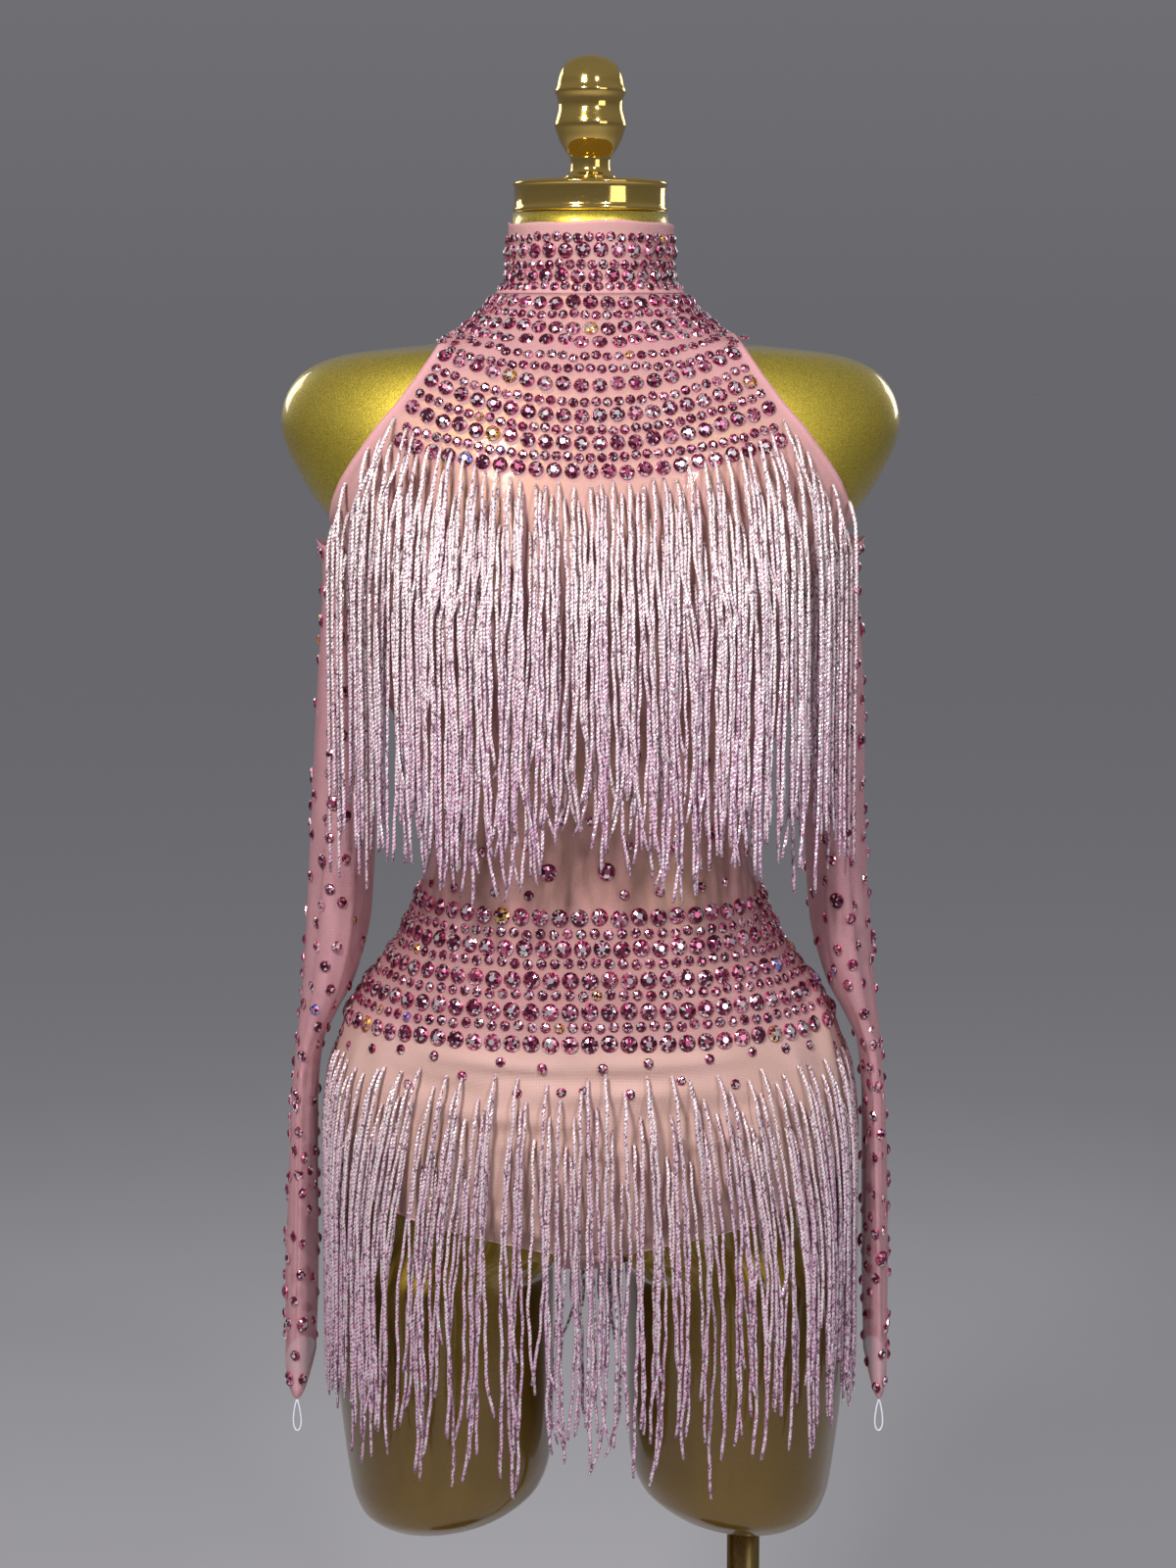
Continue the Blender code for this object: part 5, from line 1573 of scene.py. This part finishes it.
@dataclass
class Fringe:
    """One node's strands. They follow the cloth to the widest place above them, then hang straight."""

    node: str
    rows: tuple[RootRow, ...]
    all_round: bool
    points: int = 34
    sides: int = 6
    radius: float = 0.00112
    first_layer: float = 0.0020
    layer_step: float = 0.0026
    span: float = 0.965
    bust_line: float = -0.165
    bust_width: float = 0.1420
    hip_drift: float = 0.12
    settle: float = 0.120
    # Painted light on the strands: over this length down from the top of the node they go from lit to shaded, and the
    # hip tiers are set darker as painted shade.
    painted_shade_length: float = 0.22
    tone: float = 0.0

    def roots(self, row: RootRow, chance: np.random.Generator) -> tuple[Array, Array]:
        """Angles and heights of a row's roots, evenly spaced with a little scatter."""
        scatter = chance.uniform(-0.33, 0.33, row.strands)
        if self.all_round:
            angles = FULL_TURN * (np.arange(row.strands) + row.height * 61.8 % 1 + scatter) / row.strands
            return angles, row.height + chance.uniform(-0.004, 0.004, row.strands)
        shares = (np.arange(row.strands) + 0.5 + row.height * 300 % 1 * 0.6 - 0.3 + scatter) / row.strands
        shares = np.clip(self.span * (2 * shares - 1), -self.span, self.span)
        angles, heights = FRONT.rows(row.height, shares)
        return angles, heights + chance.uniform(-0.003, 0.003, row.strands)

    def settled(self, angles: Array, roots: Array, row: RootRow) -> Array:
        """Where each strand ends up round the body: those at the sides slide outwards as they go down."""
        if self.all_round:
            return angles + self.hip_drift * np.sin(2 * angles) * np.abs(np.sin(2 * angles))
        across = form_point(angles, roots)[:, 0] / FRONT_EDGE.linear("half_width", row.height)
        wanted = np.maximum(np.abs(across) * self.bust_width, 0)
        return np.sign(across) * np.maximum(side_angle(wanted, np.array(self.bust_line)), np.abs(angles))

    def paths(self, row: RootRow, chance: np.random.Generator) -> tuple[Array, Array]:
        """Centre lines of a row's strands and their radii.

        A strand lies on the cloth and slides round to its settled angle. Below the bust line, or from the root on
        the hips, its x and y stay at the furthest out that they have been. It stands off by its layer, eased in over
        the first centimetre, and sways a little more the lower it is.
        """
        angles, roots = self.roots(row, chance)
        count = len(angles)
        calm = np.cos(angles[:, None]) ** 2
        tips = row.tip + chance.uniform(-0.026, 0.024, count)
        tips += np.where(chance.random(count) < 0.20, chance.uniform(0.012, 0.065, count), 0)
        if self.all_round:
            tips += 0.046 * (1 - np.abs(np.cos(angles))) + 0.006 * np.cos(angles * 11.0)
        else:
            tips += 0.012 * np.cos(angles * 9.0) * np.cos(angles)
        share = np.linspace(0, 1, self.points)[None, :] ** 1.15
        heights = roots[:, None] + (tips - roots)[:, None] * share
        slide = np.clip((roots[:, None] - heights) / self.settle, 0, 1)
        slide = slide * slide * (3 - 2 * slide)
        angle = angles[:, None] + (self.settled(angles, roots, row) - angles)[:, None] * slide
        bare = form_point(angle, np.maximum(heights, CROTCH_HEIGHT))
        x = np.sign(bare[:, -1:, 0]) * np.maximum.accumulate(np.abs(bare[..., 0]), axis=1)
        facing = -np.sign(np.cos(angle))
        forward = bare[..., 1] * facing
        free = heights <= (0.0 if self.all_round else self.bust_line)
        held = np.maximum.accumulate(np.where(free, forward, -1.0), axis=1)
        y = facing * np.where(free, held, forward)
        out = form_normal(angle, np.maximum(heights, CROTCH_HEIGHT))
        out[..., 2] = 0
        out = unit(out)
        side = np.stack([-out[..., 1], out[..., 0], 0 * x], axis=-1)
        fall = (roots[:, None] - heights) / 0.22
        layer = self.first_layer + self.layer_step * row.layer * (calm if self.all_round else 1.0)
        seat_off = cloth_clearance(angles, roots) + CLOTH_LIFT + 1.1 * self.radius
        off = seat_off[:, None] + layer * np.clip((roots[:, None] - heights) / 0.014, 0, 1) ** 0.7
        off = off + 0.0008 * chance.uniform(-0.5, 1, (count, 1)) * calm
        phase = chance.uniform(0, FULL_TURN, (count, 1))
        waves = chance.uniform(0.6, 1.6, (count, 1))
        clumps = -0.0007 * np.sin(46 * angles[:, None] + row.height * 40)
        lean = (chance.normal(0, 0.0030, (count, 1)) + clumps) * calm
        sway = 0.0014 * np.sin(FULL_TURN * waves * fall + phase) * np.clip(fall * 2, 0, 1) * (0.3 + calm)
        crimp = 0.00040 * np.sin(FULL_TURN * 7 * fall + 3 * phase) * calm
        curl = chance.normal(0, 0.0040, (count, 1)) * np.clip(share * 5 - 4, 0, 1) ** 2 * calm
        across = sway + crimp + curl + lean * fall
        paths = np.stack([x, y, heights], axis=-1) + out * off[..., None] + side * across[..., None]
        radii = self.radius * chance.uniform(0.88, 1.10, (count, 1)) * (0.92 + 0.08 * np.clip(fall * 20, 0, 1))
        radii = radii * (1 + 0.06 * np.sin(FULL_TURN * 9 * fall + phase)) * np.where(share > 0.985, 0.75, 1.0)
        return world(paths), radii

    def build(self, finishes: Finishes) -> None:
        """Makes the node's strands as one piece."""
        chance = np.random.default_rng(sum(map(ord, self.node)))
        made = [self.paths(row, chance) for row in self.rows]
        paths = np.concatenate([path for path, _ in made])
        radii = np.concatenate([radius for _, radius in made])
        # Each strand's lightness: a random part, plus painted light that is palest at the top of the node and darkens
        # down the strands, set lower on the hip tiers as painted shade.
        depth = (paths[..., 2].max() - paths[..., 2]) / self.painted_shade_length
        shade = np.clip(chance.uniform(0.70, 1.15, (len(paths), 1)) + self.tone - 0.75 * depth, 0, 1)
        parts = tubes(paths, radii, self.sides, False, shade)
        seat(parts.object(f"{self.node}_strands", finishes.fringe), "fringe_cord", self.node)


FRINGES = (
    Fringe("bust_fringe_top", (
        RootRow(-0.086, 33, 3.0, -0.300), RootRow(-0.093, 32, 2.6, -0.296), RootRow(-0.100, 33, 2.2, -0.302),
    ), False),
    Fringe("bust_fringe_middle", (
        RootRow(-0.107, 32, 1.8, -0.302), RootRow(-0.115, 33, 1.4, -0.310),
    ), False),
    Fringe("bust_fringe_bottom", (
        RootRow(-0.124, 32, 1.0, -0.306), RootRow(-0.133, 33, 0.6, -0.314), RootRow(-0.144, 31, 0.2, -0.318),
    ), False),
    # The hip tiers are set darker: painted shade for their lower place, further from the key light.
    Fringe("hip_fringe_top", (
        RootRow(-0.458, 62, 3.0, -0.672), RootRow(-0.468, 61, 2.5, -0.682), RootRow(-0.478, 62, 2.0, -0.690),
    ), True, tone=-0.32),
    Fringe("hip_fringe_middle", (
        RootRow(-0.488, 61, 1.5, -0.696), RootRow(-0.498, 62, 1.0, -0.702),
    ), True, tone=-0.32),
    Fringe("hip_fringe_bottom", (
        RootRow(-0.509, 62, 0.6, -0.708), RootRow(-0.521, 61, 0.1, -0.712),
    ), True, tone=-0.32),
)  # fmt: skip


# Stones


class Size(Enum):
    """A stone's radius and the pitch of a row of such stones, on the yoke and on the waistband."""

    YOKE_SMALL = (0.0032, 0.0070)
    YOKE_LARGE = (0.0048, 0.0110)
    WAIST_SMALL = (0.0034, 0.0086)
    WAIST_LARGE = (0.0055, 0.0124)

    @property
    def radius(self) -> float:
        """The stone's radius."""
        return self.value[0]

    @property
    def pitch(self) -> float:
        """The distance from one stone of a row to the next."""
        return self.value[1]


SMALL, LARGE = Size.YOKE_SMALL, Size.YOKE_LARGE
COLLAR_ROWS = ((0.0665, SMALL), (0.0585, LARGE), (0.0500, SMALL), (0.0425, LARGE), (0.0345, SMALL))
YOKE_ROWS = (
    (0.0245, LARGE), (0.0165, SMALL), (0.0080, LARGE), (-0.0010, LARGE), (-0.0095, SMALL), (-0.0170, SMALL),
    (-0.0267, LARGE), (-0.0365, SMALL), (-0.0449, LARGE), (-0.0535, SMALL), (-0.0610, LARGE), (-0.0694, SMALL),
    (-0.0778, LARGE),
)  # fmt: skip
WAIST_ROWS = (
    (-0.3577, Size.WAIST_LARGE), (-0.3675, Size.WAIST_SMALL), (-0.3770, Size.WAIST_LARGE),
    (-0.3862, Size.WAIST_SMALL), (-0.3968, Size.WAIST_LARGE), (-0.4060, Size.WAIST_SMALL),
    (-0.4160, Size.WAIST_LARGE), (-0.4255, Size.WAIST_SMALL), (-0.4360, Size.WAIST_LARGE),
)  # fmt: skip

MIDRIFF_LARGE = ((-70, -0.315), (-12, -0.329), (4, -0.328), (50, -0.308))
MIDRIFF_SMALL = (
    (-45, -0.292), (-30, -0.290), (-40, -0.319), (-20, -0.312), (-8, -0.295), (-69, -0.345), (-51, -0.344),
    (-31, -0.343), (-18, -0.344), (-19, -0.251), (-11, -0.265), (0, -0.295), (11, -0.312), (11, -0.251),
    (28, -0.315), (34, -0.288), (38, -0.341), (52, -0.340), (21, -0.342), (9, -0.343), (-60, -0.270),
    (62, -0.275), (70, -0.325), (-80, -0.300), (80, -0.290), (-34, -0.262), (36, -0.258),
)  # fmt: skip
BRIEF_SMALL = (
    (-57, -0.449), (-46, -0.446), (-35, -0.447), (-42, -0.467), (-27, -0.458), (-18, -0.448), (-14, -0.467),
    (-9, -0.451), (-5, -0.466), (-1, -0.465), (2, -0.451), (7, -0.467), (11, -0.448), (18, -0.460), (25, -0.447),
    (31, -0.464), (37, -0.445), (48, -0.446), (58, -0.447), (-70, -0.452), (-82, -0.448), (72, -0.453), (84, -0.449),
)  # fmt: skip
BACK_SMALL = (
    (104, -0.120), (118, -0.098), (131, -0.128), (146, -0.092), (160, -0.124), (172, -0.096), (188, -0.130),
    (201, -0.094), (214, -0.126), (229, -0.100), (243, -0.132), (257, -0.118), (112, -0.165), (128, -0.182),
    (143, -0.158), (157, -0.190), (171, -0.162), (186, -0.186), (203, -0.160), (216, -0.192), (232, -0.168),
    (248, -0.184), (100, -0.215), (121, -0.228), (139, -0.212), (158, -0.236), (177, -0.214), (195, -0.238),
    (213, -0.216), (231, -0.232), (250, -0.218), (108, -0.272), (130, -0.262), (150, -0.284), (170, -0.266),
    (190, -0.286), (210, -0.264), (229, -0.282), (252, -0.270), (118, -0.318), (140, -0.326), (162, -0.314),
    (184, -0.330), (205, -0.316), (226, -0.328), (245, -0.314), (136, -0.044), (154, -0.052), (172, -0.040),
    (190, -0.050), (208, -0.042), (226, -0.052), (162, -0.008), (178, 0.004), (196, -0.006), (150, -0.470),
    (128, -0.462), (172, -0.464), (194, -0.472), (216, -0.462), (238, -0.470), (108, -0.468), (256, -0.464),
)  # fmt: skip
SIDE_SMALL = (
    (-84, -0.165), (-78, -0.205), (84, -0.170), (79, -0.212), (-88, -0.240), (88, -0.246),
)  # fmt: skip


@dataclass
class StoneShape:
    """A round faceted stone of radius 1: a low wall, two rings of facets and a flat table."""

    sides: int
    rings: tuple[tuple[float, float, float], ...] = (
        (1.00, -0.05, 0.0),
        (1.00, 0.16, 0.0),
        (0.72, 0.40, 0.5),
        (0.34, 0.56, 0.0),
    )

    def points(self) -> Array:
        """Rings by sides by 3: each ring's radius times the cosine and sine of its turns, at its height."""
        turns = np.linspace(0, FULL_TURN, self.sides, endpoint=False)
        made = []
        for radius, height, shift in self.rings:
            turn = turns + shift * FULL_TURN / self.sides
            made.append(np.stack([radius * np.cos(turn), radius * np.sin(turn), height + 0 * turn], axis=-1))
        return np.array(made)

    def faces(self) -> list[tuple[Array, str]]:
        """Face lists by the kind of facet: wall, lower crown, upper crown, table and underside."""
        n = np.arange(self.sides * len(self.rings)).reshape(len(self.rings), self.sides)
        ahead = np.roll(n, -1, axis=1)
        behind = np.roll(n, 1, axis=1)
        wall = np.stack([n[0], ahead[0], ahead[1], n[1]], axis=-1)
        lower = np.concatenate([
            np.stack([n[1], ahead[1], n[2]], axis=-1),
            np.stack([n[2], behind[2], n[1]], axis=-1),
        ])
        upper = np.concatenate([
            np.stack([n[2], ahead[3], n[3]], axis=-1),
            np.stack([n[2], ahead[2], ahead[3]], axis=-1),
        ])
        return [(wall, "wall"), (lower, "lower"), (upper, "upper"), (n[3][None], "table"), (n[0][None, ::-1], "under")]


@dataclass
class StoneField:
    """Stones to be made as one piece: where each sits, which way it faces, and its radius."""

    # For each kind of facet: the lowest and highest value, and the share of its facets painted as white glints.
    TONES: ClassVar[dict[str, tuple[float, float, float]]] = {
        "wall": (0.44, 0.66, 0.06),
        "lower": (0.04, 0.66, 0.14),
        "upper": (0.00, 0.52, 0.19),
        "table": (0.10, 0.76, 0.26),
        "under": (0.20, 0.20, 0.0),
    }

    name: str
    places: list[Array]
    normals: list[Array]
    radii: list[Array]

    @classmethod
    def empty(cls, name: str) -> "StoneField":
        """A field with no stones yet."""
        return cls(name, [], [], [])

    def add(self, places: Array, normals: Array, radius: float) -> None:
        """Adds stones of one radius."""
        self.places.append(places)
        self.normals.append(normals)
        self.radii.append(np.full(len(places), radius))

    def build(self, finishes: Finishes, large_from: float = 0.0040) -> bpy.types.Object:
        """Makes every stone, turned at random about its own normal, with a tone for each facet that paints its
        reflections and glints.
        """
        chance = np.random.default_rng(sum(map(ord, self.name)))
        places, normals = np.concatenate(self.places), np.concatenate(self.normals)
        radii = np.concatenate(self.radii)
        parts = MeshParts()
        for sides, chosen in ((12, radii >= large_from), (8, radii < large_from)):
            if chosen.any():
                self.add_shape(parts, StoneShape(sides), places[chosen], normals[chosen], radii[chosen], chance)
        return seat(parts.object(self.name, finishes.stone, smooth=False), "rhinestones")

    @staticmethod
    def add_shape(
        parts: MeshParts, shape: StoneShape, places: Array, normals: Array, radii: Array, chance: np.random.Generator
    ) -> None:
        """Places one shape at every stone: its x and y along two directions square to the normal, its z along it."""
        count = len(places)
        tilt = unit(normals + chance.normal(0, 0.05, normals.shape))
        across = unit(np.cross(tilt, np.array([0.31, 0.17, 0.93])))
        along = np.cross(tilt, across)
        spin = chance.uniform(0, FULL_TURN, (count, 1))
        first = across * np.cos(spin) + along * np.sin(spin)
        second = np.cross(tilt, first)
        axes = np.stack([first, second, tilt], axis=1)
        local = shape.points().reshape(-1, 3)
        points = places[:, None] + np.einsum("vk,nkc->nvc", local, axes) * radii[:, None, None]
        numbers = parts.add_points(world(points))
        mood = chance.choice([-0.10, 0.0, 0.10], count, p=[0.40, 0.40, 0.20])
        flash = chance.random(count)
        for faces, kind in shape.faces():
            low, high, glints = StoneField.TONES[kind]
            tone = chance.uniform(low, high, (count, len(faces))) + mood[:, None]
            luck = chance.random(tone.shape)
            # Painted highlights: some facets are made white glints.
            tone = np.where(luck < glints, 0.82, np.clip(tone, 0.01, 0.76))
            # Painted amber and blue glints on crown facets of a few stones.
            painted_glint_facets = (luck > 0.55) & (kind in ("lower", "upper"))
            tone = np.where(painted_glint_facets & (flash[:, None] < 0.014), 0.92, tone)
            tone = np.where(painted_glint_facets & (flash[:, None] > 0.991), 0.98, tone)
            parts.add_faces(numbers[:, faces].reshape(-1, faces.shape[1]), tone=tone.reshape(-1))


@dataclass
class Stones:
    """All the stones, in one piece for each part of the garment."""

    seat_lift: float = CLOTH_LIFT + 0.0002
    scatter: float = 0.00045
    missing: float = 0.0
    short_below: float = -0.065

    def on_body(self, field: StoneField, angles: Array, heights: Array, radius: float) -> None:
        """Seats stones on the body cloth."""
        points = cloth_point(angles, heights, self.seat_lift)
        field.add(points, form_normal(angles, heights), radius)

    def along(self, curve: Callable[[Array], tuple[Array, Array]], pitch: float, ring: bool) -> tuple[Array, Array]:
        """Angles and heights of stones at an even pitch along a curve of one parameter from 0 to 1."""
        fine = np.linspace(0, 1, 1600)
        angles, heights = curve(fine)
        points = cloth_point(angles, heights, self.seat_lift)
        run = np.concatenate([[0], np.cumsum(np.linalg.norm(np.diff(points, axis=0), axis=-1))])
        count = max(2, round(run[-1] / pitch))
        at = (np.arange(count) + 0.5) / count if ring else (np.arange(count) + 0.5) / count
        return curve(np.interp(at * run[-1], run, fine))

    def rows(self, name: str, rows: Sequence[tuple[float, Size]], curve_of: Callable, ring: bool, finishes: Finishes) -> None:
        """Makes a block of stone rows, with a few stones a little out of line."""
        chance = np.random.default_rng(sum(map(ord, name)))
        field = StoneField.empty(name)
        for height, size in rows:
            angles, heights = self.along(curve_of(height), size.pitch, ring)
            heights = heights + chance.normal(0, self.scatter, len(heights))
            kept = chance.random(len(heights)) > self.missing
            self.on_body(field, angles[kept], heights[kept], size.radius)
        field.build(finishes)

    def yoke_curve(self, height: float) -> Callable[[Array], tuple[Array, Array]]:
        """A row of the yoke, just short of the panel's edges."""
        reach = 0.955 if height > self.short_below else 0.895
        return lambda share: YOKE.rows(height, reach * (2 * share - 1))

    def level_curve(self, height: float) -> Callable[[Array], tuple[Array, Array]]:
        """A level ring round the form that starts at the centre back."""
        start = math.pi + height * 37 % 1 * 0.1
        return lambda share: (start + FULL_TURN * share, height + 0 * share)

    def scattered(self, finishes: Finishes) -> None:
        """Single stones on the midriff, the brief and the back."""
        for name, groups in (
            ("stones_front", ((MIDRIFF_LARGE, 0.0056), (MIDRIFF_SMALL, 0.0033), (BRIEF_SMALL, 0.0033), (SIDE_SMALL, 0.0031))),
            ("stones_back", ((BACK_SMALL, 0.0034),)),
        ):
            field = StoneField.empty(name)
            for table, radius in groups:
                known = np.array(table, float)
                self.on_body(field, np.radians(known[:, 0]), known[:, 1], radius)
            field.build(finishes)

    def on_sleeve(self, sleeve: Sleeve, finishes: Finishes) -> None:
        """Small stones down a sleeve in staggered rows, with a few larger ones."""
        name = f"stones_sleeve_{sleeve.side.name.lower()}"
        chance = np.random.default_rng(sum(map(ord, name)))
        top, bottom = sleeve.table.rows[0][0] - 0.006, sleeve.table.rows[-1][0] + 0.004
        levels = np.linspace(top, bottom, 39)
        around = np.array([-0.33, -0.08, 0.16, 0.38, 0.62, 0.88, 1.25]) * math.pi
        field = StoneField.empty(name)
        turn = around[None, :] + np.where(np.arange(len(levels)) % 2, 0.12, 0.0)[:, None] * math.pi
        turn = (turn + chance.normal(0, 0.06, turn.shape)).reshape(-1)
        height = (levels[:, None] + chance.uniform(-0.004, 0.004, (len(levels), len(around)))).reshape(-1)
        kept = chance.random(len(turn)) > 0.25
        turn, height = turn[kept], np.clip(height[kept], bottom, top)
        big = chance.random(len(turn)) < 0.09
        for chosen, radius in ((big, 0.0052), (~big, 0.0037)):
            points, normals = sleeve.surface(turn[chosen], height[chosen], 0.0002)
            field.add(points, normals, radius)
        field.build(finishes)

    def build(self, finishes: Finishes) -> None:
        """Makes every piece of stones."""
        self.rows("stones_collar", COLLAR_ROWS, self.level_curve, True, finishes)
        self.rows("stones_yoke", YOKE_ROWS, self.yoke_curve, False, finishes)
        self.rows("stones_waistband", WAIST_ROWS, self.level_curve, True, finishes)
        self.scattered(finishes)
        for sleeve in SLEEVES:
            self.on_sleeve(sleeve, finishes)


# Studio


@dataclass
class Studio:
    """Camera at the photograph's place, plain floor and soft lights."""

    camera_place: tuple[float, float, float] = (-0.0015, -2.0, 1.390)
    camera_pitch: float = 8.1
    lens: float = 70.9
    floor_radius: float = 90.0
    horizon: Colour = (0.1357, 0.1352, 0.1503)
    zenith: Colour = (0.225, 0.227, 0.245)

    def camera(self) -> None:
        """The camera, level with the shoulders and looking a little down."""
        data = bpy.data.cameras.new("camera")
        data.lens = self.lens
        data.sensor_width = 36.0
        data.clip_end = 100.0
        made = bpy.data.objects.new("camera", data)
        made.location = self.camera_place
        made.rotation_euler = (math.radians(90 - self.camera_pitch), 0.0, 0.0)
        bpy.context.scene.collection.objects.link(made)
        bpy.context.scene.camera = made

    def floor(self) -> None:
        """A wide round floor."""
        radius = np.array([self.floor_radius, 3.0, 0.0])
        turns = np.linspace(0, FULL_TURN, 64, endpoint=False)
        x, y = radius[:, None] * np.sin(turns), -radius[:, None] * np.cos(turns)
        parts = MeshParts()
        numbers = parts.add_points(np.stack([x, y, 0 * x], axis=-1)[::-1])
        parts.grid(numbers, np.zeros((3, 65, 2)), ring=True)
        made = parts.object("floor", FloorPaint().material(), merge=1e-6)
        made.data.flip_normals() if made.data.polygons[0].normal.z < 0 else None

    def light(
        self, name: str, place: tuple[float, float, float], target: tuple[float, float, float], watts: float, size: float,
        colour: Colour = (1.0, 1.0, 1.0),
    ) -> None:  # fmt: skip
        """A square area light that looks at its target."""
        data = bpy.data.lights.new(name, "AREA")
        data.energy = watts
        data.size = size
        data.color = colour
        made = bpy.data.objects.new(name, data)
        made.location = place
        away = np.array(place) - np.array(target)
        made.rotation_euler = (math.atan2(math.hypot(away[0], away[1]), away[2]), 0.0, math.atan2(away[0], -away[1]))
        bpy.context.scene.collection.objects.link(made)

    def build(self) -> None:
        """Makes the camera, floor, lights and sky."""
        self.camera()
        self.floor()
        bust, hips = (0.0, 0.0, 1.22), (0.0, 0.0, 0.95)
        self.light("key", (-0.60, -1.45, 2.35), bust, 42.0, 0.28, (1.0, 0.97, 0.93))
        self.light("fill", (1.9, -2.1, 1.7), hips, 9.0, 1.2, (0.95, 0.97, 1.0))
        self.light("spot_right", (0.65, -1.4, 2.25), bust, 14.0, 0.12)
        self.light("back_left", (-1.7, 1.9, 2.1), hips, 8.0, 0.9)
        self.light("back_right", (1.7, 2.2, 1.9), hips, 7.0, 0.9)
        sky = bpy.data.worlds.new("sky")
        sky.use_nodes = True
        nodes = sky.node_tree.nodes
        place, split, ramp = (nodes.new(f"ShaderNode{kind}") for kind in ("TexCoord", "SeparateXYZ", "ValToRGB"))
        ramp.color_ramp.elements[0].color = (*self.horizon, 1.0)
        ramp.color_ramp.elements[1].color = (*self.zenith, 1.0)
        ramp.color_ramp.elements[1].position = 0.5
        for start, end in (
            (place.outputs["Generated"], split.inputs[0]),
            (split.outputs[2], ramp.inputs[0]),
            (ramp.outputs[0], nodes["Background"].inputs["Color"]),
        ):
            sky.node_tree.links.new(start, end)
        scene = bpy.context.scene
        scene.world = sky
        scene.view_settings.view_transform = "Standard"
        scene.view_settings.look = "None"


def main() -> None:
    """Builds the form, the stand, the cloth, the fringe, the stones and the studio, in that order."""
    logging.basicConfig(level=logging.INFO, format="%(message)s")
    finishes = make_finishes()
    Studio().build()
    DressForm().build(finishes)
    Stand().build(finishes)
    BodyCloth().build(finishes)
    for sleeve in SLEEVES:
        sleeve.build(finishes)
    for fringe in FRINGES:
        fringe.build(finishes)
    Stones().build(finishes)


if __name__ == "__main__":
    main()
